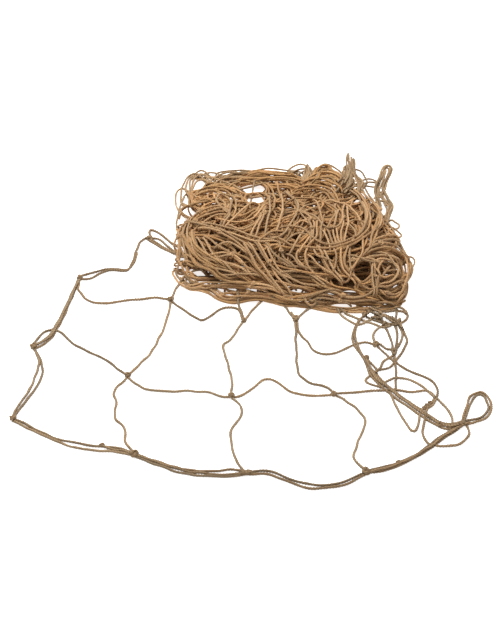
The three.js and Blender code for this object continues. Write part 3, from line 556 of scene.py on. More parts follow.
# Twines at the heap's rim, in the same way: loops that stand out and ears
RIM_TWINES = {
    "rear": [
        [(-45, 303, 7), (-12, 309, 8), (10, 302, 8)],
        [(-40, 293, 8), (-15, 300, 8), (15, 302, 8)],
        [(-37, 286, 9), (-25, 290, 9), (29, 292, 9), (56, 302, 10)],
        [(-1, 304, 9), (26, 308, 10), (65, 303, 10)],
        [(1, 298, 8), (15, 301, 8), (62, 300, 9)],
        [(-63, 294, 8), (-40, 282, 9), (-15, 261, 12)],
        [(-34, 279, 9), (-21, 283, 9), (7, 278, 10), (21, 283, 10)],
        [(55, 310, 10), (68, 320, 10), (75, 317, 10), (77, 307, 10), (70, 275, 12)],
        [(59, 289, 10), (76, 305, 10), (81, 301, 10)],
        [(74, 287, 10), (77, 314, 13), (81, 288, 11)],
        [(84, 295, 11), (91, 312, 11), (95, 309, 11), (95, 297, 11)],
        [(90, 309, 11), (100, 317, 12), (107, 315, 12), (127, 291, 14)],
        [(92, 303, 12), (102, 308, 13), (111, 303, 13), (123, 276, 16)],
        [(78, 290, 11), (100, 299, 13), (110, 293, 14), (117, 279, 16)],
        [(123, 273, 14), (126, 299, 14), (127, 274, 15)],
        [(-52, 288, 9), (-40, 299, 8), (-28, 304, 8), (-15, 302, 8), (-1, 298, 9)],
        [(-48, 284, 9), (-34, 293, 9), (-21, 299, 9), (-7, 299, 9), (7, 296, 10)],
        [(-45, 279, 10), (-32, 287, 10), (-18, 290, 10), (-4, 289, 11)],
        [(-40, 283, 10), (-29, 294, 10), (-18, 300, 9), (-7, 304, 9), (4, 303, 9)],
        [(71, 287, 12), (75, 304, 12), (78, 316, 13), (79, 303, 12), (77, 284, 12)],
        [(76, 284, 12), (80, 299, 12), (79, 313, 12), (83, 306, 11), (85, 291, 12)],
        [(55, 297, 12), (65, 305, 11), (74, 308, 11)],
        [(74, 281, 13), (76, 297, 12), (77, 311, 12), (81, 298, 12), (83, 281, 13)],
        [(-20, 252, 16), (18, 270, 13)],
        [(-20, 249, 17), (7, 236, 19), (20, 237, 20), (35, 233, 22)],
        [(-18, 238, 18), (-4, 229, 20), (18, 234, 20)],
        [(0, 223, 20), (5, 278, 12)],
    ],
    "rear left rings": [
        [(-72, 210, 8), (-83, 205, 5), (-95, 217, 4), (-103, 254, 4), (-97, 270, 4), (-91, 270, 5),
         (-76, 249, 8)],
        [(-74, 226, 8), (-93, 236, 4), (-92, 282, 5), (-87, 298, 5), (-80, 302, 6), (-70, 295, 8)],
        [(-95, 234, 4), (-100, 188, 4), (-94, 156, 10)],
        [(-82, 264, 7), (-78, 289, 7), (-72, 297, 7), (-65, 298, 8), (-59, 293, 8), (-58, 283, 8),
         (-72, 258, 8)],
        [(-79, 301, 7), (-70, 309, 7), (-53, 290, 8)],
        [(-80, 265, 8), (-71, 286, 8), (-63, 285, 8), (-56, 277, 9)],
        [(-65, 299, 7), (-59, 305, 6), (-52, 306, 6), (-38, 294, 8)],
        [(-62, 288, 8), (-58, 297, 7), (-54, 296, 7), (-55, 283, 8)],
        [(-84, 261, 6), (-83, 288, 6), (-78, 297, 6), (-72, 301, 7), (-62, 297, 8)],
        [(-89, 269, 5), (-85, 293, 5), (-80, 297, 6)],
        [(-81, 229, 7), (-88, 260, 5), (-94, 241, 4)],
    ],
    "rear ear": [
        [(133, 261, 30), (131, 279, 33), (131, 293, 36), (132, 309, 38), (133, 293, 36), (134, 275, 33)],
        [(135, 261, 30), (133, 282, 34), (132, 303, 38), (134, 283, 35), (137, 264, 31)],
        [(143, 234, 27), (146, 246, 28), (141, 261, 30), (136, 275, 33), (136, 289, 36), (137, 302, 38),
         (138, 286, 36), (139, 272, 33), (145, 255, 29)],
        [(145, 233, 27), (148, 245, 28), (143, 259, 30), (139, 272, 33), (139, 286, 36), (140, 299, 37),
         (141, 284, 36), (141, 270, 33), (148, 253, 29)],
        [(128, 260, 27), (124, 270, 27), (126, 280, 29), (131, 286, 31)],
        [(131, 258, 27), (128, 268, 28), (128, 279, 29), (132, 283, 31)],
        [(133, 258, 28), (131, 268, 29), (131, 279, 30), (134, 285, 32)],
        [(126, 262, 27), (129, 274, 28), (133, 277, 31), (136, 268, 30)],
        [(134, 265, 28), (127, 270, 28), (126, 281, 30), (130, 287, 32), (133, 282, 31)],
        [(132, 264, 27), (125, 264, 27), (123, 272, 28), (125, 279, 29), (131, 283, 30)],
        [(142, 264, 31), (149, 257, 29), (153, 250, 28), (149, 240, 27)],
        [(145, 262, 30), (151, 252, 29), (147, 243, 27)],
        [(134, 274, 30), (142, 280, 30), (150, 278, 29), (153, 270, 28), (155, 263, 27)],
        [(150, 258, 27), (156, 263, 27), (161, 264, 27), (168, 257, 28), (169, 251, 28), (162, 256, 27),
         (157, 255, 27), (151, 250, 27)],
        [(153, 249, 27), (158, 248, 27), (163, 246, 27), (168, 241, 28), (170, 232, 27), (169, 220, 27),
         (170, 208, 26)],
        [(148, 241, 28), (155, 221, 28), (160, 202, 29), (161, 181, 30)],
        [(154, 240, 27), (160, 224, 27), (165, 209, 27), (169, 192, 27), (170, 172, 27)],
    ],
    "right ear": [
        [(171, 205, 25), (168, 219, 26), (166, 233, 27), (167, 243, 28), (170, 253, 30), (174, 263, 32),
         (178, 273, 34), (181, 281, 35), (185, 283, 36), (189, 283, 35), (191, 277, 34), (190, 268, 33),
         (186, 259, 31), (182, 250, 29), (179, 240, 28), (181, 227, 27), (185, 217, 26), (189, 204, 26),
         (187, 193, 25), (183, 182, 24)],
        [(172, 207, 25), (170, 221, 26), (170, 233, 27), (171, 243, 28), (174, 252, 30), (177, 261, 32),
         (180, 270, 34), (183, 277, 34), (186, 280, 35), (188, 277, 34), (186, 269, 33), (183, 260, 31),
         (179, 251, 29), (176, 241, 28), (178, 227, 27), (181, 215, 26), (183, 202, 26), (182, 189, 25),
         (179, 176, 24)],
        [(171, 208, 28), (168, 222, 29), (168, 236, 30), (171, 248, 32), (175, 258, 34), (179, 269, 36),
         (182, 277, 37), (186, 279, 38), (190, 276, 37), (188, 266, 36), (184, 256, 34), (180, 247, 32),
         (177, 238, 30), (180, 224, 29), (183, 213, 28), (187, 203, 27), (184, 192, 26), (181, 179, 25)],
        [(170, 210, 26), (168, 224, 27), (169, 238, 28), (173, 250, 30), (177, 260, 33), (181, 270, 35),
         (183, 276, 36), (184, 272, 36), (181, 263, 34), (178, 254, 32), (175, 245, 30), (172, 233, 28),
         (171, 220, 27), (171, 208, 26)],
        [(181, 240, 29), (185, 251, 31), (189, 262, 34), (191, 272, 36), (189, 279, 37), (187, 276, 37),
         (186, 268, 35), (184, 258, 33), (181, 247, 30), (180, 236, 28), (183, 222, 27), (185, 208, 26),
         (183, 196, 25)],
    ],
    "right rim": [
        [(179, 167, 22), (184, 178, 22), (187, 180, 22), (191, 174, 21), (195, 173, 20), (196, 167, 20),
         (193, 163, 20), (186, 161, 21)],
        [(181, 164, 22), (189, 162, 21), (199, 152, 19), (197, 146, 19), (187, 140, 21)],
        [(186, 141, 20), (194, 146, 18), (196, 141, 18), (190, 134, 20)],
        [(190, 133, 20), (200, 119, 17), (203, 108, 16)],
        [(185, 124, 20), (195, 115, 17), (203, 107, 15), (209, 97, 14), (205, 82, 13), (199, 63, 13)],
        [(199, 102, 16), (207, 111, 15), (213, 108, 14), (212, 98, 13), (206, 84, 13), (201, 67, 13),
         (196, 53, 13)],
        [(202, 99, 15), (207, 97, 13), (209, 91, 12), (198, 59, 11), (189, 51, 13)],
        [(196, 106, 16), (200, 86, 13), (198, 73, 12)],
        [(197, 61, 10), (198, 48, 9), (189, 34, 9)],
        [(193, 97, 15), (197, 77, 13)],
    ],
    "left ear": [
        [(-79, 71, 8), (-86, 87, 5), (-91, 95, 4), (-97, 96, 3), (-98, 92, 3), (-94, 84, 3), (-90, 77, 3),
         (-85, 69, 3), (-79, 64, 3), (-71, 62, 4)],
        [(-71, 66, 6), (-78, 73, 6), (-83, 82, 5), (-88, 91, 4), (-94, 96, 4), (-99, 97, 3)],
        [(-67, 85, 14), (-78, 84, 10), (-79, 80, 8), (-61, 80, 6), (-53, 75, 7)],
        [(-58, 88, 9), (-52, 78, 4), (-46, 71, 5)],
        [(-84, 73, 4), (-79, 67, 3), (-62, 61, 4)],
        [(-71, 72, 6), (-87, 97, 10)],
    ],
    "right chain": [
        [(178, 168, 24), (179, 182, 26), (180, 196, 27), (178, 209, 27), (175, 219, 28), (172, 230, 28),
         (172, 235, 29), (177, 232, 28), (181, 223, 28), (184, 213, 27), (187, 203, 27), (185, 191, 26),
         (181, 177, 25), (178, 163, 24)],
        [(176, 172, 24), (180, 186, 26), (184, 198, 27), (180, 207, 27), (178, 217, 28), (174, 221, 28),
         (169, 223, 28), (169, 217, 28), (172, 212, 28), (178, 212, 28), (183, 207, 27), (188, 198, 27),
         (183, 186, 26), (180, 173, 25)],
    ],
}

# The heap's form in mm: front edge as x and y, height by the distance behind it, and share of that by x
FRONT_EDGE = [(-110, 95), (-94, 82), (-27, 42), (62, 24), (190, 16), (215, 20)]
RISE = [
    (-5, 4), (0, 6), (15, 20), (30, 33), (50, 46), (75, 54), (105, 53), (140, 48), (175, 40), (205, 28),
    (235, 18), (270, 10), (300, 6),
]
SIDE_SHARE = [
    (-110, 0.25), (-95, 0.5), (-75, 0.75), (-45, 0.92), (0, 1), (130, 1), (165, 0.9), (190, 0.68),
    (205, 0.42), (215, 0.25),
]
REAR_EDGE = 305.0
RISE_SPAN = 275.0  # mm from front to rear edge in the table of heights
LOWEST_HEAP = 3.0  # mm
HEAP_MIDDLE = np.array([55.0, 165.0])
REAR_CORNER = (190.0, 200.0, 0.72)  # rear right: largest x, y behind which it draws in, and how fast

# Gaps and hollows in mm: x and y on the ground, half width, half depth, and height that twines fill it to
GAPS = [
    (2, 274, 20, 14, 0), (7, 250, 16, 14, 0), (-72, 284, 9, 12, 0), (-88, 251, 5, 14, 0),
    (-82, 224, 13, 11, 0), (-75, 235, 4, 5, 0), (49, 253, 2, 5, 0), (69, 310, 6, 8, 0),
    (156, 255, 5, 10, 0), (162, 263, 6, 16, 0), (143, 243, 8, 7, 0), (178, 231, 4, 19, 0),
    (200, 107, 6, 17, 0), (-68, 95, 15, 12, 0), (-93, 92, 6, 7, 0), (-83, 79, 4, 5, 0), (-87, 123, 5, 4, 0),
    (-30, 61, 4, 4, 0), (-19, 55, 5, 2, 0), (-2, 59, 9, 4, 0), (17, 61, 7, 4, 0), (50, 67, 6, 6, 0),
    (59, 59, 9, 6, 0), (117, 30, 20, 7, 0), (147, 29, 9, 5, 0), (127, 56, 11, 6, 0), (187, 52, 3, 4, 0),
    (142, 96, 13, 23, 22), (139, 151, 9, 10, 22), (153, 160, 4, 11, 15), (-49, 154, 12, 9, 20),
    (-36, 134, 11, 7, 18), (-13, 135, 8, 8, 22), (28, 153, 6, 10, 26), (63, 135, 8, 13, 22),
    (101, 141, 9, 7, 26), (134, 202, 8, 6, 20), (161, 194, 4, 8, 15), (84, 236, 13, 9, 20),
    (117, 76, 22, 11, 11), (111, 103, 6, 8, 18), (-32, 92, 15, 9, 6), (-52, 89, 5, 8, 0),
]
GAP_LEAN = 1.15  # mm that a gap comes forward for each mm of height, as the photo looks into it
GAP_CORE = 0.1  # share of a gap's size inside which a twine is not moved all the way out

# How the routes are laid, in mm. A drift has a size and a wavelength, a tuck its longest run and its drop
POINT_DECIMALS = 3  # of a given point, so that every machine gets the same result
DRIFT_DECIMALS = 4
SETTLED_DECIMALS = 5
STEP = 4.5  # between the points of a route while it settles
FINE_STEP = 2.0  # between the points of a finished route
LEAST_POINTS = 3  # in a route
SPAN_POINTS = 24  # points of a smooth bend between two given points
TWINE = 2.7  # the room that each twine takes
LIE = 1.7  # height of the middle of a twine that lies on the ground
WAVES = 4  # in a drift
WAVE_SPREAD = (0.6, 1.8)  # shortest and longest wave, as shares of the usual one
TUCK_RUN = (8.0, 0.6)  # run of a tucked end on the ground, and what each mm of height adds
TUCK_STEPS = (0.3, 0.4, 0.5)  # its three steps as shares of that run
TUCK_DEPTHS = np.array([0.2, 0.6, 1.0])  # how deep each step goes, as shares of the drop
OPENED_DRIFTS = ((0.7, 32), (0.4, 32), (0.5, 32))  # of single, slack and border twines
EASED_POINTS = 4.0  # points at each end over which the drift of an opened twine fades
TWINE_ANGLE = 0.382  # turns round a fold's middle from one twine to the next
FOLD_ANGLE = 0.23  # and from one fold to the next
ANGLE_STRAY = 0.6  # radians by which a twine strays round its fold
FOLD_STRAY = 3.2  # of a twine's points along its fold
END_REACH = 14  # how far the end turns of a fold stand out at most
END_STRAY = (5, 3)  # of the end turns, level and upright
ARC_X = (-80, 192)  # where the middles of the slack arcs lie
ARC_Y = (45, 296)
ARC_DEPTH = (4, 18)  # under the heap's surface
ARC_HALF = (22, 44)  # half the length of a slack arc
ARC_BULGE = (8, 32)
ARC_SHAPE = [(-1.0, 0.0), (-0.62, 0.72), (0.0, 1.0), (0.62, 0.72), (1.0, 0.0)]  # by half and bulge
ARC_FRONT = 130  # arcs whose middle is in front of this y stay where the heap is higher
ARC_LOWEST = (18, 9)  # lowest heap that arcs lie in, at the front and behind
ARC_SIDES = (-88, 196)  # all of an arc stays between these x
ARC_REAR = 298  # and in front of this y
ARC_TUCK = (16, 10)
ARC_DRIFT = (1.6, 60)
GROUND_ROWS = (66.0, 226.0, 4.5)  # first y, end and spacing of the twines under the heap
GROUND_LINE = [(-70, 14), (0, 3), (60, -4), (175, -12)]  # x, and how far behind its row a twine is there
GROUND_DRIFT = (4.0, 60)
SWEEP_TUCK = (30, 18)
SWEEP_SPREAD = (0.8, 1.5)  # how far a twine lies from its place, as a share of its distance from the middle
SWEEP_SINK = (-8.0, -2.0)  # from the height that the bunch is given
SWEEP_DRIFT = (2.6, 75)
SWEEP_CUT = 5  # points that an end is shortened by, at most one less
SURFACE_DRIFT = (0.7, 45)
TOP_TUCK = (30, 20)
RIM_TUCK = (22, 4)

# How the twines settle: each group's pull back to its own lie, and how far its bends are eased in a round
HOLD = {
    "single": (0.25, 0.04),
    "border": (0.25, 0.04),
    "slack": (0.12, 0.04),
    "folds": (0.02, 0.2),
    "arcs": (0.02, 0.2),
    "sweeps": (0.04, 0.2),
    "top": (0.2, 0.12),
    "rim": (0.25, 0.1),
}
TIED = ("single", "border")  # held still beside their knots
KNOT_REACH = 6.0  # mm
CLEARED = ("folds", "arcs", "sweeps")  # kept out of the gaps
SLACK_LIFT = 0.2  # mm by which each slack twine starts above the one before it
PAIR_REACH = 1.6  # twines apart at which two points are compared
PAIR_ROUNDS = 3  # rounds between two looks for near points and gaps
NEIGHBOURS = 4  # points along one twine that don't push each other
NEAREST = 1e-4  # mm, the least distance that a push is worked out from
UPRIGHT_PULL = 0.6  # pull back to its own height, as a share of the level pull
CROWDING = 0.55  # how far a push is shared out among the twines that touch
SAG = 0.03  # mm in a round
TAKE_UP = 0.8  # share of a stretch that is taken back in a round

# How the twines are modelled: sides round a twine, and metres between its rings
OPENED_DETAIL = (9, 0.0014)
HEAP_DETAIL = (7, 0.0034)
PLIES = 3
UNEVEN_SCALE = 95.0  # thick and thin places on a metre
UNEVEN_DETAIL = 2.0  # levels of finer places among them
SEAM_SPREAD = 0.06  # spread of the place round the twine above which a face lies across its seam

# Pieces of the opened end: groups of twines, seed of the twines and seed of their fibres
OPENED_PIECES = {"mesh": (("single", "slack"), 3, 7), "border": (("border",), 4, 8)}
# Pieces of the heap: kind of twine, seed of the twines and seed of their fibres, where they have any. The
# kinds are one jute with painted light: painted shade on the twines under the uppermost ones and at the
# rim, painted bounce light deep in the heap
HEAP_PIECES = {
    "folds": ("inner jute twine", 20, None),
    "arcs": ("inner jute twine", 21, None),
    "sweeps": ("covered jute twine", 22, None),
    "top": ("folded jute twine", 23, 33),
    "rim": ("rim jute twine", 24, 34),
}

# Knots: a closed cord in three wraps
KNOT_LIE = 3.2  # mm, height of the middle of a usual knot on the ground
KNOT_POINTS = 26  # along its cord
KNOT_ROUNDS = 2.0  # times that the cord goes round the knot's middle
KNOT_WRAPS = 3.0  # times that it goes in and out on the way
KNOT_SWING = 0.5  # how far the wraps go in and out, and up and down, as shares of the knot's size
KNOT_RISE = 0.62
KNOT_SIDES = 6
KNOT_STEP = 0.0011
KNOT_TURNS = 280.0  # of its plies, on a metre
KNOT_UNEVEN = 0.3
MESH_KNOTS = (20, 5)  # lean in degrees and seed
HEAP_KNOTS = (50, 6)
HEAP_KNOT_ALONG = (0.3, 0.7)  # place of a knot along its twine
HEAP_KNOT_LIFT = 0.6  # mm above its twine
HEAP_KNOT_SIZE = (0.75, 1.05)

# Loose fibres, with lengths as shares of the usual fibre
FIBRE_FACING = -0.1  # lowest slope of the side of a twine that fibres stand on
FIBRE_BOW = ((0, 0, 0), (0.2, 0, 0.55), (0.85, 0.15, 0.7))  # root, bend and tip
FIBRE_POINTS = 3
FIBRE_SIDES = 3
FIBRE_RADIUS = 0.022
FIBRE_TIP = 0.3  # thickness at the tip as a share of that at the root
FIBRE_LEAN = 0.5  # radians
FIBRE_SHORTEST = 0.4
FIBRE_LIE = 0.0002  # metres above the ground
FIBRE_PLY = (0.5, 0.0, 0.0)  # a fibre has the colour of a ply's crown

# Kinds of jute twine: colour of the plies, painted shade colour of the grooves between them, and how
# strongly the grooves take that painted shade
JUTES = {
    "jute twine": ("dull_light", "dull_groove_shade", 0.9),
    "knotted jute twine": ("knot", "dull_groove_shade", 0.6),
    "folded jute twine": ("light", "groove_shade", 0.5),
    "covered jute twine": ("covered", "groove_shade", 0.5),
    "inner jute twine": ("inner", "groove_shade", 0.5),
    "rim jute twine": ("rim", "dull_groove_shade", 0.5),
}
MIX_INPUTS = (0, 6, 7)  # places of the share and the two colours among a mix node's inputs
MIX_OUTPUT = 2
# Ranges of tone are the lowest value and what is added to it at most
CROWN_SHARE = 0.9  # share of the plies' colour on the crown of a ply
FIBRES_ACROSS = 5.0  # on one ply
FIBRES_ALONG = 130.0  # on a metre
FIBRE_DETAIL = 3.0  # levels of finer fibres among them
FIBRE_ROUGHNESS = 0.6  # how strongly the finer ones show
FIBRE_RELIEF = 0.5  # as a share of the plies' own
FIBRE_TONE = (0.62, 0.7)
TWINE_TONE = (0.62, 0.38)
PATCH_TONE = (0.8, 0.7)
PATCH_SCALE = 28.0  # lighter and darker patches on a metre
PATCH_DETAIL = 3.0
HUE_STEPS = 7.0  # spreads the hues among twines of one tone
WARM_HUE = (1.04, 0.98, 0.92)
COOL_HUE = (0.97, 1.01, 1.07)
FIBRE_GLOSS = 0.25
BUMP_STRENGTH = 0.7
BUMP_HEIGHT = 0.0005
SHEEN = 0.25
SHEEN_TINT = (1.0, 0.86, 0.66, 1.0)
SHEEN_ROUGHNESS = 0.5
SPECULAR = 0.4

# The stage, in metres and watts: floor, room light, lights as place, size and power, and the photo's view
WHITE = (1.0, 1.0, 1.0, 1.0)
FLOOR_HALF = 6.0
FLOOR_ROUGHNESS = 0.9
FLOOR_SEEN = 0.35  # what the floor's glow gains where the camera looks at it
ROOM_LIGHT = 0.3
LIGHTS = {"key": ((-0.4, 0.8, 2.2), 1.8, 80.0), "fill": ((1.2, -1.6, 1.6), 2.0, 4.0)}
VIEW_TILT = math.radians(41.0)
VIEW_DISTANCE = 2.53
VIEW_LENS = 112.15  # mm
VIEW_SENSOR = 36.0


class TwineSettings(bpy.types.PropertyGroup):
    """The twine and its knots."""

    thickness: FloatProperty(
        name="Thickness", description="Diameter of one twine", default=0.0033, unit="LENGTH", precision=4
    )
    pressed: FloatProperty(
        name="Pressed", description="Thickness of the twine pressed in the heap, as a share", default=0.85
    )
    ply_depth: FloatProperty(
        name="Ply depth",
        description="Depth of the grooves between the plies, as a share of the radius",
        default=0.2,
    )
    turns: FloatProperty(
        name="Turns per metre", description="How tightly the plies are twisted", default=95.0
    )
    uneven: FloatProperty(
        name="Unevenness", description="How much the thickness varies along the twine", default=0.3
    )
    fibres: FloatProperty(
        name="Fibres", description="Loose fibres on each square metre of twine", default=16000.0
    )
    fibre: FloatProperty(
        name="Fibre length",
        description="Length of a usual loose fibre",
        default=0.0042,
        unit="LENGTH",
        precision=4,
    )
    knot: FloatProperty(
        name="Knot size",
        description="Distance from a knot's middle to its wraps",
        default=0.0022,
        unit="LENGTH",
        precision=4,
    )


class HeapSettings(bpy.types.PropertyGroup):
    """The folded part of the net."""

    fold_twines: IntProperty(
        name="Twines in a fold", description="Twines that run along each fold", default=14
    )
    arcs: IntProperty(name="Slack arcs", description="Mesh sides that lie slack in the heap", default=220)
    knots: IntProperty(name="Knots that show", description="Knots on the heap's surface", default=36)
    settle_steps: IntProperty(
        name="Settling steps", description="Rounds in which the twines make room", default=90
    )
    seed: IntProperty(name="Seed", description="Start value of everything irregular", default=11)


class LookSettings(bpy.types.PropertyGroup):
    """Colours of the twine and of the stage."""

    light: FloatVectorProperty(
        name="Light jute", description="Colour of the folded twine's plies",
        subtype="COLOR", size=3, default=(0.59, 0.375, 0.19),
    )
    # Painted shade: stands in for the shade in the grooves between the plies of the heap's twines
    groove_shade: FloatVectorProperty(
        name="Folded grooves shade", description="Colour of the folded twine's grooves",
        subtype="COLOR", size=3, default=(0.385, 0.167, 0.036),
    )
    dull_light: FloatVectorProperty(
        name="Dull light jute", description="Colour of the opened twine's plies",
        subtype="COLOR", size=3, default=(0.455, 0.318, 0.18),
    )
    # Painted shade: stands in for the shade in the grooves between the plies of the opened twines, the
    # knots and the rim twines
    dull_groove_shade: FloatVectorProperty(
        name="Opened grooves shade", description="Colour of the opened twine's grooves",
        subtype="COLOR", size=3, default=(0.145, 0.074, 0.024),
    )
    # Painted shade: a darker copy of the light jute, for the shade on twines that lie under the uppermost
    # ones
    covered: FloatVectorProperty(
        name="Shaded lower jute", description="Colour of the plies inside the heap",
        subtype="COLOR", size=3, default=(0.54, 0.318, 0.135),
    )
    # Painted bounce light: lighter and warmer than the jute under the uppermost twines, to lift the shade
    # deep in the heap
    inner: FloatVectorProperty(
        name="Bounce-lit deep jute", description="Colour of the plies deep in the heap",
        subtype="COLOR", size=3, default=(0.60, 0.36, 0.163),
    )
    # Painted shade: a darker copy of the light jute, for the shade on the heap's rim loops and ears
    rim: FloatVectorProperty(
        name="Shaded rim jute", description="Colour of the plies at the heap's rim",
        subtype="COLOR", size=3, default=(0.495, 0.328, 0.172),
    )
    knot: FloatVectorProperty(
        name="Knot jute", description="Colour of the plies in the knots",
        subtype="COLOR", size=3, default=(0.40, 0.265, 0.14),
    )
    glow: FloatProperty(
        name="Floor glow", description="How strongly the floor is lit from below", default=0.4
    )
    floor: FloatVectorProperty(
        name="Floor", description="Colour of the floor", subtype="COLOR", size=3, default=(0.92, 0.92, 0.92)
    )


class NetSettings(bpy.types.PropertyGroup):
    """All settings of the net."""

    twine: PointerProperty(type=TwineSettings)
    heap: PointerProperty(type=HeapSettings)
    look: PointerProperty(type=LookSettings)


def settings():
    """The net's settings in the open scene."""
    return bpy.context.scene.plant_net


# Routes


def rows(table):
    """All the rows of a table, group by group."""
    return [row for group in table.values() for row in group]


def even(route, step):
    """The same route with points an even step apart."""
    route = np.asarray(route, float)
    run = np.concatenate([[0.0], np.cumsum(np.linalg.norm(np.diff(route, axis=0), axis=1))])
    count = max(LEAST_POINTS, int(round(run[-1] / step)) + 1)
    at = np.linspace(0.0, run[-1], count)
    return np.stack([np.interp(at, run, route[:, k]) for k in range(3)], axis=1)


def between(t, low, high, first, second):
    """The mix of two points that t, from low to high, gives."""
    return (high - t) / (high - low) * first + (t - low) / (high - low) * second


def smooth(points, step):
    """A route that bends smoothly through the points."""
    p = np.asarray(points, float)
    p = np.vstack([2 * p[0] - p[1], p, 2 * p[-1] - p[-2]])
    spans = np.sqrt(np.linalg.norm(np.diff(p, axis=0), axis=1)) + TINY
    at = np.concatenate([[0.0], np.cumsum(spans)])
    pieces = []
    for i in range(1, len(p) - 2):
        t0, t1, t2, t3 = at[i - 1 : i + 3]
        t = np.linspace(t1, t2, SPAN_POINTS, endpoint=False)[:, None]
        before = between(t, t0, t1, p[i - 1], p[i])
        here = between(t, t1, t2, p[i], p[i + 1])
        after = between(t, t2, t3, p[i + 1], p[i + 2])
        early = between(t, t0, t2, before, here)
        late = between(t, t1, t3, here, after)
        pieces.append(between(t, t1, t2, early, late))
    return even(np.vstack([*pieces, p[-2]]), step)


def lying(point):
    """The middle of a twine whose underside is at the given height."""
    x, y, *base = point
    return np.array([x, y, sum(base) + LIE], float)


def grounded(route):
    """The route with no point under the ground."""
    route[:, 2] = np.maximum(route[:, 2], LIE)
    return route


def unit(line):
    """The direction of a line."""
    return line / max(TINY, np.linalg.norm(line))


def sideways(route):
    """The level direction across a route at each of its points."""
    along = np.gradient(route, axis=0)
    across = np.stack([-along[:, 1], along[:, 0], np.zeros(len(route))], axis=1)
    return across / np.maximum(np.linalg.norm(across, axis=1, keepdims=True), TINY)


def wander(rng, count, size, wavelength):
    """A slow irregular drift along a route, rounded so that it is the same on every machine."""
    at = np.arange(count)[:, None] * STEP
    waves = wavelength * rng.uniform(*WAVE_SPREAD, (WAVES, 3))
    phases = rng.uniform(0, FULL_TURN, (WAVES, 3))
    drift = sum(np.sin(FULL_TURN * at / waves[k] + phases[k]) for k in range(WAVES))
    return np.round(drift * size / math.sqrt(WAVES), DRIFT_DECIMALS)


def heap_height(x, y):
    """Height of the heap's surface in mm."""
    edge = np.interp(x, *zip(*FRONT_EDGE))
    inside = (y - edge) / (REAR_EDGE - edge) * RISE_SPAN
    return max(LOWEST_HEAP, float(np.interp(inside, *zip(*RISE)) * np.interp(x, *zip(*SIDE_SHARE))))


def cleared(route):
    """The route moved aside from the gaps, which come forward with their height."""
    for x, y, wide, deep, bottom in GAPS:
        aside = (route[:, 0] - x) / wide
        behind = (route[:, 1] + GAP_LEAN * route[:, 2] - y) / deep
        move = (1.0 / np.clip(np.hypot(aside, behind), GAP_CORE, 1.0) - 1.0) * (route[:, 2] > bottom)
        route[:, 0] += aside * move * wide
        route[:, 1] += behind * move * deep
    return route


def tucked_end(last, before, reach, drop):
    """Three more points, which turn inwards and down into the heap."""
    onward = unit((last - before)[:2])
    inward = unit(HEAP_MIDDLE - last[:2])
    shortest, rise = TUCK_RUN
    run = min(reach, shortest + rise * last[2])
    first = last[:2] + onward * run * TUCK_STEPS[0]
    second = first + (onward + inward) / 2 * run * TUCK_STEPS[1]
    third = second + inward * run * TUCK_STEPS[2]
    depths = last[2] - TUCK_DEPTHS * drop
    return [np.append(place, max(TWINE, depth)) for place, depth in zip((first, second, third), depths)]


def tucked(points, reach, drop):
    """The points with both ends tucked in."""
    points = np.asarray(points, float)
    start = tucked_end(points[0], points[1], reach, drop)
    end = tucked_end(points[-1], points[-2], reach, drop)
    return np.vstack([start[::-1], points, end])


def opened_routes(rng):
    """The opened meshes: single twines, slack twines and border twines."""
    groups = []
    for table, drift in zip((MESH_TWINES, SLACK_TWINES, BORDER_TWINES), OPENED_DRIFTS):
        routes = []
        for points in rows(table):
            route = smooth([lying(point) for point in points], STEP)
            place = np.arange(len(route))
            ease = np.minimum(1.0, np.minimum(place, place[::-1]) / EASED_POINTS)
            routes.append(route + wander(rng, len(route), *drift) * [1, 1, 0] * ease[:, None])
        groups.append(routes)
    return groups


def fold_routes(rng, twines):
    """Twines that run along every fold in turn, from the heap's underside to its top."""
    routes = []
    for k in range(twines):
        points = []
        radius = math.sqrt((k + 0.5) / twines)
        for i, (start, middle, end, width, thick) in enumerate(FOLDS):
            if i == REAR_FOLD and k >= REAR_TWINES:
                routes.append(points)
                points = []
                continue
            angle = FULL_TURN * (k * TWINE_ANGLE + FOLD_ANGLE * i)
            quarters = [start, np.add(start, middle) / 2, middle, np.add(middle, end) / 2, end]
            for place in quarters:
                angle += rng.normal(0, ANGLE_STRAY)
                aside = width / 2 * radius * math.cos(angle)
                above = thick / 2 * radius * math.sin(angle)
                shift = np.array([0, aside, above])
                points.append(np.asarray(place, float) + shift + rng.normal(0, FOLD_STRAY, 3))
            if i + 1 < len(FOLDS):
                outward = np.sign(end[0] - middle[0])
                reach = np.array([outward * rng.uniform(0, END_REACH), 0, 0])
                stray = np.append(rng.normal(0, END_STRAY[0], 2), rng.normal(0, END_STRAY[1]))
                points.append(np.add(end, FOLDS[i + 1][0]) / 2.0 + reach + stray)
        routes.append(points)
    laid = []
    for points in routes:
        points = grounded(np.array(points) * [1, 1, FOLD_SINK])
        laid.append(cleared(smooth(np.round(points, POINT_DECIMALS), STEP)))
    return laid


def arc_fits(points, lowest):
    """Whether an arc's points are inside the heap, where it is high enough."""
    left, right = ARC_SIDES
    return all(heap_height(x, y) > lowest and left < x < right and y < ARC_REAR for x, y, _ in points)


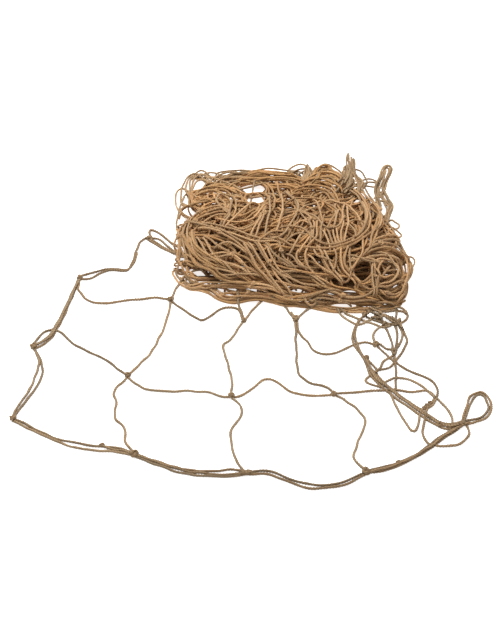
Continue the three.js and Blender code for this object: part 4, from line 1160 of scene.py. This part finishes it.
def arc_routes(rng, count):
    """Mesh sides that lie slack under the heap's surface."""
    routes = []
    while len(routes) < count:
        x, y = rng.uniform(*ARC_X), rng.uniform(*ARC_Y)
        depth = rng.uniform(*ARC_DEPTH)
        heading = rng.uniform(0, FULL_TURN)
        half = rng.uniform(*ARC_HALF)
        bulge = rng.uniform(*ARC_BULGE) * rng.choice([-1, 1])
        points = []
        for along, aside in ARC_SHAPE:
            px = x + along * half * math.cos(heading) - aside * bulge * math.sin(heading)
            py = y + along * half * math.sin(heading) + aside * bulge * math.cos(heading)
            points.append((px, py, max(LIE, heap_height(px, py) - depth)))
        points = np.round(np.array(points), POINT_DECIMALS)
        if arc_fits(points, ARC_LOWEST[0] if y < ARC_FRONT else ARC_LOWEST[1]):
            route = smooth(tucked(points, *ARC_TUCK), STEP)
            routes.append(cleared(route + wander(rng, len(route), *ARC_DRIFT)))
    return routes


def inside_corner(routes):
    """Those of the routes that stay inside the heap's rear right corner."""
    widest, start, slant = REAR_CORNER
    kept = []
    for route in routes:
        behind = np.maximum(route[:, 1] + GAP_LEAN * route[:, 2] - start, 0.0)
        if np.all(route[:, 0] + slant * behind < widest):
            kept.append(route)
    return kept


def ground_routes(rng):
    """Twines that lie side by side under the heap."""
    routes = []
    for y in np.arange(*GROUND_ROWS):
        route = smooth([(x, y + behind, LIE) for x, behind in GROUND_LINE], STEP)
        routes.append(cleared(grounded(route + wander(rng, len(route), *GROUND_DRIFT))))
    return routes


def sweep_routes(rng):
    """The bunches under the uppermost twines. The last of three or more places in a bunch stays empty."""
    routes = []
    for places, half_width, points in rows(SWEEPS):
        middle = smooth(tucked(points, *SWEEP_TUCK), STEP)
        across = sideways(middle)
        for k in range(max(2, places - 1)):
            aside = half_width * (2 * (k + 0.5) / places - 1) * rng.uniform(*SWEEP_SPREAD)
            route = middle + across * aside + np.array([0, 0, rng.uniform(*SWEEP_SINK)])
            route += wander(rng, len(route), *SWEEP_DRIFT)
            start, end = rng.integers(0, SWEEP_CUT, 2)
            routes.append(cleared(grounded(route[start : len(route) - end])))
    return routes


def surface_routes(rng, table, tuck):
    """Twines that lie uppermost or at the rim, each with its ends tucked in."""
    routes = []
    for points in rows(table):
        route = smooth(tucked(points, *tuck), STEP)
        routes.append(grounded(route + wander(rng, len(route), *SURFACE_DRIFT)))
    return routes


# Settling


def near_pairs(points, strand, reach):
    """Pairs of points closer than reach, apart from neighbours on one twine."""
    cell = np.floor(points / reach).astype(np.int64)
    cell -= cell.min(axis=0) - 1
    size = cell.max(axis=0) + 2
    key = (cell[:, 0] * size[1] + cell[:, 1]) * size[2] + cell[:, 2]
    order = np.argsort(key, kind="stable")
    ranked = key[order]
    first, second = [], []
    for dx, dy, dz in product((-1, 0, 1), repeat=3):
        offset = (dx * size[1] + dy) * size[2] + dz
        if offset < 0:
            continue
        low = np.searchsorted(ranked, key + offset, "left")
        high = np.searchsorted(ranked, key + offset, "right")
        count = high - low
        i = np.repeat(np.arange(len(points)), count)
        start = np.repeat(low - np.concatenate([[0], np.cumsum(count)[:-1]]), count)
        j = order[start + np.arange(len(i))]
        keep = i < j if offset == 0 else np.ones(len(i), bool)
        first.append(i[keep])
        second.append(j[keep])
    i, j = np.concatenate(first), np.concatenate(second)
    apart = (strand[i] != strand[j]) | (np.abs(i - j) > NEIGHBOURS)
    close = ((points[i] - points[j]) ** 2).sum(axis=1) < reach**2
    keep = apart & close
    return i[keep], j[keep]


def settle(groups, steps):
    """Lets the twines make room for each other while each is drawn back to its own lie."""
    names = [name for name, members in groups.items() for _ in members]
    routes = rows(groups)
    counts = [len(route) for route in routes]
    home = np.vstack(routes)
    total = len(home)
    strand = np.repeat(np.arange(len(routes)), counts)
    group = np.repeat(names, counts)
    place = np.repeat([i for members in groups.values() for i in range(len(members))], counts)
    points = home + (SLACK_LIFT * place * (group == "slack"))[:, None] * [0, 0, 1]
    hold, stiff = np.repeat([HOLD[name] for name in names], counts, axis=0).T
    pull = hold[:, None] * np.array([1.0, 1.0, UPRIGHT_PULL])
    knots = np.array([knot[:2] for knot in KNOTS], float)
    at_knot = np.linalg.norm(home[:, None, :2] - knots[None], axis=2).min(axis=1) < KNOT_REACH
    free = (~(at_knot & np.isin(group, TIED))).astype(float)
    inside = np.flatnonzero(np.isin(group, CLEARED))
    link = np.flatnonzero(strand[:-1] == strand[1:])
    bend = np.flatnonzero(strand[:-2] == strand[2:])
    ease = stiff[bend + 1][:, None] * free[bend + 1][:, None]
    rest = np.linalg.norm(home[link + 1] - home[link], axis=1)

    def spread(index, move):
        """The sum of the moves at each point."""
        return np.stack([np.bincount(index, weights=move[:, k], minlength=total) for k in range(3)], axis=1)

    for step in range(steps):
        if step % PAIR_ROUNDS == 0:
            i, j = near_pairs(points, strand, TWINE * PAIR_REACH)
            movable = (free[i] + free[j]) > 0
            i, j = i[movable], j[movable]
        gap = points[i] - points[j]
        far = np.linalg.norm(gap, axis=1)
        push = np.maximum(TWINE - far, 0.0) / np.maximum(far, NEAREST) / 2
        move = gap * push[:, None]
        shove = spread(i, move) - spread(j, move)
        touch = sum(np.bincount(side, weights=push > 0, minlength=total) for side in (i, j))
        points += shove / np.maximum(1.0, CROWDING * touch)[:, None] * free[:, None]
        points += (home - points) * pull * free[:, None]
        points[:, 2] -= SAG * free
        for part in (link[::2], link[1::2]):
            pick = np.searchsorted(link, part)
            line = points[part + 1] - points[part]
            span = np.linalg.norm(line, axis=1)
            fix = line * ((span - rest[pick]) / np.maximum(span, TINY) / 2)[:, None] * TAKE_UP
            points[part] += fix * free[part][:, None]
            points[part + 1] -= fix * free[part + 1][:, None]
        points[bend + 1] += ((points[bend] + points[bend + 2]) / 2 - points[bend + 1]) * ease
        if step % PAIR_ROUNDS == 0:
            points[inside] = cleared(points[inside])
        points = np.round(grounded(points), SETTLED_DECIMALS)
    laid = {name: [] for name in groups}
    for name, route in zip(names, np.split(points, np.cumsum(counts)[:-1])):
        laid[name].append(route)
    return laid


@lru_cache(maxsize=1)
def laid_twines():
    """Every twine of the net as a route in mm, by group, after settling."""
    heap = settings().heap
    rng = np.random.default_rng(heap.seed)
    single, slack, border = opened_routes(rng)
    groups = {
        "single": single,
        "border": border,
        "slack": slack,
        "folds": fold_routes(rng, heap.fold_twines),
        "arcs": inside_corner(arc_routes(rng, heap.arcs)) + ground_routes(rng),
        "sweeps": sweep_routes(rng),
        "top": surface_routes(rng, TOP_TWINES, TOP_TUCK),
        "rim": surface_routes(rng, RIM_TWINES, RIM_TUCK),
    }
    groups = settle(groups, heap.settle_steps)
    return groups


# Node trees


def plug(tree, socket, source):
    """Links a socket to another node's output, or sets it to a value."""
    if isinstance(source, bpy.types.NodeSocket):
        tree.links.new(source, socket)
    else:
        socket.default_value = source


def add(tree, kind, **values):
    """A new node. Capitalised names are its inputs, with _ for a space, and the others its own settings."""
    node = tree.nodes.new(kind)
    for key, value in values.items():
        if key[0].isupper():
            plug(tree, node.inputs[key.replace("_", " ")], value)
        else:
            setattr(node, key, value)
    return node


def math_node(tree, operation, *sources):
    """The result of a sum on sockets and numbers."""
    node = add(tree, "ShaderNodeMath", operation=operation)
    for socket, source in zip(node.inputs, sources):
        plug(tree, socket, source)
    return node.outputs[0]


def ranged(tree, value, lowest, span):
    """A value from 0 to 1 as one from lowest to lowest and span."""
    return math_node(tree, "ADD", math_node(tree, "MULTIPLY", value, span), lowest)


def capture(tree, geometry, name, value, domain):
    """The geometry and the value as it is there, for use further on."""
    node = add(tree, "GeometryNodeCaptureAttribute", domain=domain)
    node.capture_items.new("FLOAT", name)
    plug(tree, node.inputs[0], geometry)
    plug(tree, node.inputs[1], value)
    return node.outputs[0], node.outputs[1]


def new_tree(name, kind, inputs, outputs):
    """A node tree with its sockets by name and kind, and their outputs and inputs inside the tree."""
    tree = bpy.data.node_groups.new(name, kind)
    for way, sockets in (("INPUT", inputs), ("OUTPUT", outputs)):
        for label, socket in sockets.items():
            tree.interface.new_socket(label, in_out=way, socket_type="NodeSocket" + socket)
    return tree, tree.nodes.new("NodeGroupInput").outputs, tree.nodes.new("NodeGroupOutput").inputs


def shape_tree(name, **inputs):
    """A geometry tree that takes a geometry, the named inputs and a seed and material."""
    sockets = {"Geometry": "Geometry"}
    sockets.update({label.replace("_", " "): kind for label, kind in inputs.items()})
    sockets.update({"Seed": "Int", "Material": "Material"})
    return new_tree(name, "GeometryNodeTree", sockets, {"Geometry": "Geometry"})


def stored(tree, geometry, name, value, **kind):
    """The geometry with a named attribute."""
    node = add(tree, "GeometryNodeStoreNamedAttribute", **kind)
    for key, source in (("Geometry", geometry), ("Name", name), ("Value", value)):
        plug(tree, node.inputs[key], source)
    return node.outputs[0]


def dressed(tree, geometry, material, out):
    """The finished tree, which ends in the geometry with its material."""
    node = add(tree, "GeometryNodeSetMaterial", Geometry=geometry, Material=material)
    plug(tree, out["Geometry"], node.outputs[0])
    return tree


@lru_cache(maxsize=1)
def twine_tree():
    """Sweeps a lobed, twisted profile along every curve and stores its ply and length as a UV map."""
    tree, given, out = shape_tree(
        "Twine",
        Thickness="Float",
        Sides="Int",
        Step="Float",
        Ply_depth="Float",
        Modelled_turns="Float",
        Painted_turns="Float",
        Unevenness="Float",
    )
    node, calc = partial(add, tree), partial(math_node, tree)
    curve, step = given["Geometry"], given["Step"]
    resampled = node("GeometryNodeResampleCurve", mode="LENGTH", Curve=curve, Length=step)
    length = node("GeometryNodeSplineParameter").outputs["Length"]
    curve, length = capture(tree, resampled.outputs[0], "length", length, "POINT")
    shade = node("FunctionNodeRandomValue", data_type="FLOAT", Seed=given["Seed"])
    curve, shade = capture(tree, curve, "shade", shade.outputs[1], "CURVE")
    twist = calc("MULTIPLY", calc("MULTIPLY", length, given["Modelled turns"]), FULL_TURN)
    twisted = node("GeometryNodeSetCurveTilt", Curve=curve, Tilt=twist)
    noise = node("ShaderNodeTexNoise", Scale=UNEVEN_SCALE, Detail=UNEVEN_DETAIL)
    swing = calc("MULTIPLY", calc("SUBTRACT", noise.outputs[0], 0.5), given["Unevenness"])
    sides, radius = given["Sides"], calc("MULTIPLY", given["Thickness"], 0.5)
    circle = node("GeometryNodeCurvePrimitiveCircle", mode="RADIUS", Resolution=sides, Radius=radius)
    around = node("GeometryNodeSplineParameter").outputs["Factor"]
    ring, around = capture(tree, circle.outputs[0], "around", around, "POINT")
    lobes = calc("COSINE", calc("MULTIPLY", around, PLIES * FULL_TURN))
    stretch = node(
        "ShaderNodeVectorMath",
        operation="SCALE",
        Vector=node("GeometryNodeInputPosition").outputs[0],
        Scale=calc("MULTIPLY", lobes, given["Ply depth"]),
    )
    lobed = node("GeometryNodeSetPosition", Geometry=ring, Offset=stretch.outputs[0])
    sweep = node(
        "GeometryNodeCurveToMesh",
        Curve=twisted.outputs[0],
        Profile_Curve=lobed.outputs[0],
        Scale=ranged(tree, swing, 1.0, 2.0),
        Fill_Caps=True,
    )

    def on_face(value):
        """The mean of a value over each face."""
        return node("GeometryNodeFieldOnDomain", domain="FACE", data_type="FLOAT", Value=value).outputs[0]

    mean = on_face(around)
    mean_square = on_face(calc("MULTIPLY", around, around))
    differing = calc("SUBTRACT", mean_square, calc("MULTIPLY", mean, mean))
    seam = calc("GREATER_THAN", differing, SEAM_SPREAD)
    behind = calc("MULTIPLY", seam, calc("LESS_THAN", around, 0.5))
    ply = calc("MULTIPLY", calc("ADD", around, behind), float(PLIES))
    ply = calc("ADD", ply, calc("MULTIPLY", length, given["Painted turns"]))
    pair = node("ShaderNodeCombineXYZ", X=ply, Y=length)
    mapped = stored(tree, sweep.outputs[0], "UVMap", pair.outputs[0], data_type="FLOAT2", domain="CORNER")
    shaded = stored(tree, mapped, "shade", shade, data_type="FLOAT", domain="POINT")
    rounded = node("GeometryNodeSetShadeSmooth", Geometry=shaded)
    real = node("GeometryNodeRealizeInstances", Geometry=rounded.outputs[0])
    return dressed(tree, real.outputs[0], given["Material"], out)


def linked(name, data):
    """A new object in the scene."""
    made = bpy.data.objects.new(name, data)
    bpy.context.collection.objects.link(made)
    return made


def grown(source, tree, values):
    """A plain mesh piece from an object and a node tree. The source object is used up."""
    name = source.name
    modifier = source.modifiers.new(tree.name, "NODES")
    modifier.node_group = tree
    for item in tree.interface.items_tree:
        if item.in_out == "INPUT" and item.name in values:
            modifier[item.identifier] = values[item.name]
    evaluated = source.evaluated_get(bpy.context.evaluated_depsgraph_get())
    mesh = bpy.data.meshes.new_from_object(evaluated)
    if not mesh.polygons:
        raise RuntimeError(f"{name} came out empty")
    mesh.name = name
    bpy.data.objects.remove(source)
    return linked(name, mesh)


def curve_object(name, routes):
    """A curve object with one spline for each route, in metres and in the part's frame."""
    curve = bpy.data.curves.new(name, "CURVE")
    curve.dimensions = "3D"
    for route in routes:
        spline = curve.splines.new("POLY")
        spline.points.add(len(route) - 1)
        place = (route - [0, SETBACK, 0]) * MM
        spline.points.foreach_set("co", np.column_stack([place, np.ones(len(route))]).ravel())
    return linked(name, curve)


def twine_piece(name, routes, material, seed, pressed):
    """One mesh of the twines along the routes. Twines pressed in the heap have painted plies."""
    twine = settings().twine
    sides, step = HEAP_DETAIL if pressed else OPENED_DETAIL
    values = {
        "Thickness": twine.thickness * (twine.pressed if pressed else 1.0),
        "Sides": sides,
        "Step": step,
        "Ply depth": 0.0 if pressed else twine.ply_depth,
        "Modelled turns": 0.0 if pressed else twine.turns,
        "Painted turns": PLIES * twine.turns if pressed else 0.0,
        "Unevenness": twine.uneven,
        "Seed": seed,
        "Material": material,
    }
    return grown(curve_object(name, [smooth(route, FINE_STEP) for route in routes]), twine_tree(), values)


@lru_cache(maxsize=1)
def knot_tree():
    """Ties a knot of twine at every point, by the point's size, turned at random."""
    tree, given, out = shape_tree("Knots", Reach="Float", Thickness="Float", Lean="Float")
    node, calc = partial(add, tree), partial(math_node, tree)
    ring = node("GeometryNodeCurvePrimitiveCircle", mode="RADIUS", Resolution=KNOT_POINTS, Radius=MM)
    turn = calc("MULTIPLY", node("GeometryNodeSplineParameter").outputs["Factor"], FULL_TURN)
    around, wrap = calc("MULTIPLY", turn, KNOT_ROUNDS), calc("MULTIPLY", turn, KNOT_WRAPS)
    radius = ranged(tree, calc("COSINE", wrap), 1.0, KNOT_SWING)
    place = node(
        "ShaderNodeCombineXYZ",
        X=calc("MULTIPLY", radius, calc("COSINE", around)),
        Y=calc("MULTIPLY", radius, calc("SINE", around)),
        Z=calc("MULTIPLY", calc("SINE", wrap), KNOT_RISE),
    )
    sized = node("ShaderNodeVectorMath", operation="SCALE", Vector=place.outputs[0], Scale=given["Reach"])
    wrapped = node("GeometryNodeSetPosition", Geometry=ring.outputs[0], Position=sized.outputs[0])
    twine = node(
        "GeometryNodeGroup",
        node_tree=twine_tree(),
        Geometry=wrapped.outputs[0],
        Thickness=given["Thickness"],
        Sides=KNOT_SIDES,
        Step=KNOT_STEP,
        Painted_turns=KNOT_TURNS,
        Unevenness=KNOT_UNEVEN,
        Seed=given["Seed"],
        Material=given["Material"],
    )
    back = calc("MULTIPLY", given["Lean"], -1.0)
    low = node("ShaderNodeCombineXYZ", X=back, Y=back)
    high = node("ShaderNodeCombineXYZ", X=given["Lean"], Y=given["Lean"], Z=FULL_TURN)
    lean = node(
        "FunctionNodeRandomValue",
        data_type="FLOAT_VECTOR",
        Min=low.outputs[0],
        Max=high.outputs[0],
        Seed=given["Seed"],
    )
    size = node("GeometryNodeInputNamedAttribute", data_type="FLOAT", Name="size")
    tied = node(
        "GeometryNodeInstanceOnPoints",
        Points=given["Geometry"],
        Instance=twine.outputs[0],
        Rotation=lean.outputs[0],
        Scale=size.outputs[0],
    )
    real = node("GeometryNodeRealizeInstances", Geometry=tied.outputs[0])
    return dressed(tree, real.outputs[0], given["Material"], out)


def knot_piece(name, knots, material, lean, seed):
    """One mesh of the knots, given as x, y, z in mm and size."""
    twine = settings().twine
    mesh = bpy.data.meshes.new(name)
    mesh.from_pydata([Vector((x, y - SETBACK, z)) * MM for x, y, z, _ in knots], [], [])
    mesh.attributes.new("size", "FLOAT", "POINT").data.foreach_set("value", [knot[3] for knot in knots])
    values = {
        "Reach": twine.knot,
        "Thickness": twine.thickness * twine.pressed,
        "Lean": math.radians(lean),
        "Seed": seed,
        "Material": material,
    }
    return grown(linked(name, mesh), knot_tree(), values)


@lru_cache(maxsize=1)
def fibre_tree():
    """Short fibres that stand off a twine's upper sides, bent and tapered."""
    tree, given, out = shape_tree("Loose fibres", Density="Float", Length="Float")
    node, calc = partial(add, tree), partial(math_node, tree)
    facing = node("ShaderNodeSeparateXYZ", Vector=node("GeometryNodeInputNormal").outputs[0])
    roots = node(
        "GeometryNodeDistributePointsOnFaces",
        Mesh=given["Geometry"],
        Selection=calc("GREATER_THAN", facing.outputs["Z"], FIBRE_FACING),
        Density=given["Density"],
        Seed=given["Seed"],
    )
    root, bend, tip = FIBRE_BOW
    bow = node("GeometryNodeCurveQuadraticBezier", Start=root, Middle=bend, End=tip)
    plug(tree, bow.inputs["Resolution"], FIBRE_POINTS)
    left = calc("SUBTRACT", 1.0, node("GeometryNodeSplineParameter").outputs["Factor"])
    ring = node("GeometryNodeCurvePrimitiveCircle", mode="RADIUS", Resolution=FIBRE_SIDES)
    plug(tree, ring.inputs["Radius"], FIBRE_RADIUS)
    fibre = node(
        "GeometryNodeCurveToMesh",
        Curve=bow.outputs[0],
        Profile_Curve=ring.outputs[0],
        Scale=ranged(tree, left, FIBRE_TIP, 1.0 - FIBRE_TIP),
        Fill_Caps=True,
    )
    mapped = stored(tree, fibre.outputs[0], "UVMap", FIBRE_PLY, data_type="FLOAT2", domain="CORNER")
    spin = node(
        "FunctionNodeRandomValue",
        data_type="FLOAT_VECTOR",
        Min=(-FIBRE_LEAN, -FIBRE_LEAN, 0.0),
        Max=(FIBRE_LEAN, FIBRE_LEAN, FULL_TURN),
        Seed=given["Seed"],
    )
    turned = node(
        "FunctionNodeRotateRotation",
        rotation_space="LOCAL",
        Rotation=roots.outputs["Rotation"],
        Rotate_By=spin.outputs[0],
    )
    share = node("FunctionNodeRandomValue", data_type="FLOAT", Seed=given["Seed"]).outputs[1]
    placed = node(
        "GeometryNodeInstanceOnPoints",
        Points=roots.outputs["Points"],
        Instance=mapped,
        Rotation=turned.outputs[0],
        Scale=calc("MULTIPLY", calc("ADD", share, FIBRE_SHORTEST), given["Length"]),
    )
    shaded = stored(tree, placed.outputs[0], "shade", share, data_type="FLOAT", domain="INSTANCE")
    real = node("GeometryNodeRealizeInstances", Geometry=shaded)
    place = node("ShaderNodeSeparateXYZ", Vector=node("GeometryNodeInputPosition").outputs[0]).outputs
    above = calc("MAXIMUM", place["Z"], FIBRE_LIE)
    held = node("ShaderNodeCombineXYZ", X=place["X"], Y=place["Y"], Z=above)
    laid = node("GeometryNodeSetPosition", Geometry=real.outputs[0], Position=held.outputs[0])
    return dressed(tree, laid.outputs[0], given["Material"], out)


def fibre_piece(name, twines, material, seed):
    """One mesh of the loose fibres on a piece of twine."""
    twine = settings().twine
    values = {"Density": twine.fibres, "Length": twine.fibre, "Seed": seed, "Material": material}
    return grown(linked(name, twines.data.copy()), fibre_tree(), values)


def belongs(piece, node):
    """Says what a piece moves with and which solid it stands for, whose part it hides."""
    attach(piece, "root")
    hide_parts(node)


# Materials


@lru_cache(maxsize=1)
def ply_group():
    """Shader group: how the plies and fibres of a twine show, from its UV map of ply and length."""
    tree, given, out = new_tree(
        "Twine plies",
        "ShaderNodeTree",
        {"Fibres across": "Float", "Fibres along": "Float"},
        {"Crown": "Float", "Fibre": "Float", "Height": "Float"},
    )
    node, calc = partial(add, tree), partial(math_node, tree)
    mapped = node("ShaderNodeUVMap", uv_map="UVMap").outputs[0]
    place = node("ShaderNodeSeparateXYZ", Vector=mapped).outputs
    crown = calc("SINE", calc("MULTIPLY", calc("FRACT", place["X"]), math.pi))
    grain = node(
        "ShaderNodeCombineXYZ",
        X=calc("MULTIPLY", place["X"], given["Fibres across"]),
        Y=calc("MULTIPLY", place["Y"], given["Fibres along"]),
    )
    fibre = node(
        "ShaderNodeTexNoise",
        Vector=grain.outputs[0],
        Scale=1.0,
        Detail=FIBRE_DETAIL,
        Roughness=FIBRE_ROUGHNESS,
    ).outputs[0]
    plug(tree, out["Crown"], crown)
    plug(tree, out["Fibre"], fibre)
    plug(tree, out["Height"], calc("ADD", crown, calc("MULTIPLY", fibre, FIBRE_RELIEF)))
    return tree


def mix_colour(tree, kind, share, first, second):
    """Two colours mixed in one of Blender's ways, by a share."""
    node = add(tree, "ShaderNodeMix", data_type="RGBA", blend_type=kind)
    for place, source in zip(MIX_INPUTS, (share, first, second)):
        plug(tree, node.inputs[place], (*source, 1.0) if isinstance(source, tuple) else source)
    return node.outputs[MIX_OUTPUT]


def toned(tree, colour, tone):
    """A colour made lighter or darker by a value."""
    grey = add(tree, "ShaderNodeCombineXYZ", X=tone, Y=tone, Z=tone)
    return mix_colour(tree, "MULTIPLY", 1.0, colour, grey.outputs[0])


@lru_cache(maxsize=None)
def jute(name):
    """Jute: twisted plies of dull brown fibre, uneven in colour from twine to twine and along each."""
    light, groove_shade, groove_shade_share = JUTES[name]
    look = settings().look
    material = bpy.data.materials.new(name)
    material.use_nodes = True
    tree = material.node_tree
    shader = tree.nodes["Principled BSDF"]
    node, calc = partial(add, tree), partial(math_node, tree)
    plies = node(
        "ShaderNodeGroup", node_tree=ply_group(), Fibres_across=FIBRES_ACROSS, Fibres_along=FIBRES_ALONG
    ).outputs
    # The grooves between the plies take the painted shade colour, by the crown of each ply
    crown = ranged(tree, plies["Crown"], CROWN_SHARE - groove_shade_share, groove_shade_share)
    colour = mix_colour(tree, "MIX", crown, tuple(getattr(look, groove_shade)), tuple(getattr(look, light)))
    colour = toned(tree, colour, ranged(tree, plies["Fibre"], *FIBRE_TONE))
    shade = node("ShaderNodeAttribute", attribute_name="shade").outputs["Fac"]
    hue = mix_colour(tree, "MIX", calc("FRACT", calc("MULTIPLY", shade, HUE_STEPS)), WARM_HUE, COOL_HUE)
    colour = mix_colour(tree, "MULTIPLY", 1.0, colour, hue)
    place = node("ShaderNodeTexCoord").outputs["Object"]
    patches = node("ShaderNodeTexNoise", Vector=place, Scale=PATCH_SCALE, Detail=PATCH_DETAIL).outputs[0]
    tone = calc("MULTIPLY", ranged(tree, shade, *TWINE_TONE), ranged(tree, patches, *PATCH_TONE))
    plug(tree, shader.inputs["Base Color"], toned(tree, colour, tone))
    rough = calc("SUBTRACT", 1.0, calc("MULTIPLY", plies["Fibre"], FIBRE_GLOSS))
    plug(tree, shader.inputs["Roughness"], rough)
    bump = node("ShaderNodeBump", Height=plies["Height"], Strength=BUMP_STRENGTH, Distance=BUMP_HEIGHT)
    plug(tree, shader.inputs["Normal"], bump.outputs[0])
    shader.inputs["Sheen Weight"].default_value = SHEEN
    shader.inputs["Sheen Tint"].default_value = SHEEN_TINT
    shader.inputs["Sheen Roughness"].default_value = SHEEN_ROUGHNESS
    shader.inputs["Specular IOR Level"].default_value = SPECULAR
    return material


def pale_floor():
    """The floor's pale finish, which glows a little and is brighter to the camera than to the net."""
    look = settings().look
    material = bpy.data.materials.new("pale floor")
    material.use_nodes = True
    tree = material.node_tree
    shader = tree.nodes["Principled BSDF"]
    shader.inputs["Base Color"].default_value = (*look.floor, 1.0)
    shader.inputs["Roughness"].default_value = FLOOR_ROUGHNESS
    shader.inputs["Emission Color"].default_value = WHITE
    seen = add(tree, "ShaderNodeLightPath").outputs["Is Camera Ray"]
    plug(tree, shader.inputs["Emission Strength"], ranged(tree, seen, look.glow, FLOOR_SEEN))
    return material


# Operators


class NET_OT_opened_twines(bpy.types.Operator):
    """Lay the opened meshes' twines, doubled border and knots on the ground"""

    bl_idname = "plant_net.opened_twines"
    bl_label = "Opened meshes"

    def execute(self, context):
        laid = laid_twines()
        material = jute("jute twine")
        for name, (groups, seed, fibre_seed) in OPENED_PIECES.items():
            routes = [route for group in groups for route in laid[group]]
            twines = twine_piece(name + "_twines", routes, material, seed, False)
            belongs(twines, "opened_meshes")
            fibres = fibre_piece(name + "_fibres", twines, material, fibre_seed)
            belongs(fibres, "opened_meshes")
        points = np.vstack(laid["single"] + laid["border"] + laid["slack"])
        knots = []
        for x, y, size in KNOTS:
            near = points[np.argmin(np.hypot(points[:, 0] - x, points[:, 1] - y))]
            knots.append((x, y, max(near[2], KNOT_LIE * size), size))
        tied = knot_piece("mesh_knots", knots, jute("knotted jute twine"), *MESH_KNOTS)
        belongs(tied, "opened_meshes")
        return {"FINISHED"}


class NET_OT_heap_twines(bpy.types.Operator):
    """Lay the folds, slack mesh sides, bunches, uppermost twines and knots of the heap"""

    bl_idname = "plant_net.heap_twines"
    bl_label = "Folded heap"

    def execute(self, context):
        laid = laid_twines()
        heap = settings().heap
        for group, (kind, seed, fibre_seed) in HEAP_PIECES.items():
            twines = twine_piece("heap_" + group, laid[group], jute(kind), seed, True)
            belongs(twines, "folded_heap")
            if fibre_seed:
                fibres = fibre_piece(f"heap_{group}_fibres", twines, jute(kind), fibre_seed)
                belongs(fibres, "folded_heap")
        rng = np.random.default_rng(heap.seed)
        knots = []
        for pick in rng.choice(len(laid["top"]), heap.knots):
            route = laid["top"][pick]
            x, y, z = route[int(rng.uniform(*HEAP_KNOT_ALONG) * len(route))]
            knots.append((x, y, z + HEAP_KNOT_LIFT, rng.uniform(*HEAP_KNOT_SIZE)))
        tied = knot_piece("heap_knots", knots, jute("folded jute twine"), *HEAP_KNOTS)
        belongs(tied, "folded_heap")
        return {"FINISHED"}


class NET_OT_stage(bpy.types.Operator):
    """Set up the floor, the soft lights and the camera"""

    bl_idname = "plant_net.stage"
    bl_label = "Stage"

    def execute(self, context):
        scene = context.scene
        mesh = bpy.data.meshes.new("floor")
        corners = [(x * FLOOR_HALF, y * FLOOR_HALF, 0) for x, y in ((-1, -1), (1, -1), (1, 1), (-1, 1))]
        mesh.from_pydata(corners, [], [(0, 1, 2, 3)])
        mesh.materials.append(pale_floor())
        floor = linked("floor", mesh)
        scene.world = bpy.data.worlds.new("soft room")
        scene.world.use_nodes = True
        room = scene.world.node_tree.nodes["Background"]
        room.inputs["Color"].default_value = WHITE
        room.inputs["Strength"].default_value = ROOM_LIGHT
        for name, (place, size, power) in LIGHTS.items():
            light = bpy.data.lights.new(name, "AREA")
            light.size = size
            light.energy = power
            lamp = linked(name, light)
            lamp.location = place
            lamp.rotation_euler = (-Vector(place)).to_track_quat("-Z", "Y").to_euler()
        view = bpy.data.cameras.new("photo view")
        view.sensor_width = VIEW_SENSOR
        view.lens = VIEW_LENS
        camera = linked("photo view", view)
        target = Vector((0.0, -SETBACK * MM, 0.0))
        camera.location = target + Vector((0.0, -math.cos(VIEW_TILT), math.sin(VIEW_TILT))) * VIEW_DISTANCE
        camera.rotation_euler = (target - camera.location).to_track_quat("-Z", "Y").to_euler()
        scene.camera = camera
        scene.view_settings.view_transform = "Standard"
        return {"FINISHED"}


class NET_PT_panel(bpy.types.Panel):
    """Lists the net's makers and settings"""

    bl_idname = "NET_PT_panel"
    bl_label = "Plant support net"
    bl_space_type = "VIEW_3D"
    bl_region_type = "UI"
    bl_category = "Net"

    def draw(self, context):
        for operator in MAKERS:
            self.layout.operator(operator.bl_idname)
        for group in (settings().twine, settings().heap, settings().look):
            for key in type(group).__annotations__:
                self.layout.prop(group, key)


MAKERS = (NET_OT_opened_twines, NET_OT_heap_twines, NET_OT_stage)
CLASSES = (TwineSettings, HeapSettings, LookSettings, NetSettings, *MAKERS, NET_PT_panel)


def register():
    """Makes the net's settings, operators and panel known."""
    for cls in CLASSES:
        bpy.utils.register_class(cls)
    bpy.types.Scene.plant_net = PointerProperty(type=NetSettings)


def unregister():
    """Takes them out again."""
    del bpy.types.Scene.plant_net
    for cls in reversed(CLASSES):
        bpy.utils.unregister_class(cls)


def main():
    """Builds the net and its stage."""
    register()
    bpy.ops.plant_net.opened_twines()
    bpy.ops.plant_net.heap_twines()
    bpy.ops.plant_net.stage()


if __name__ == "__main__":
    main()
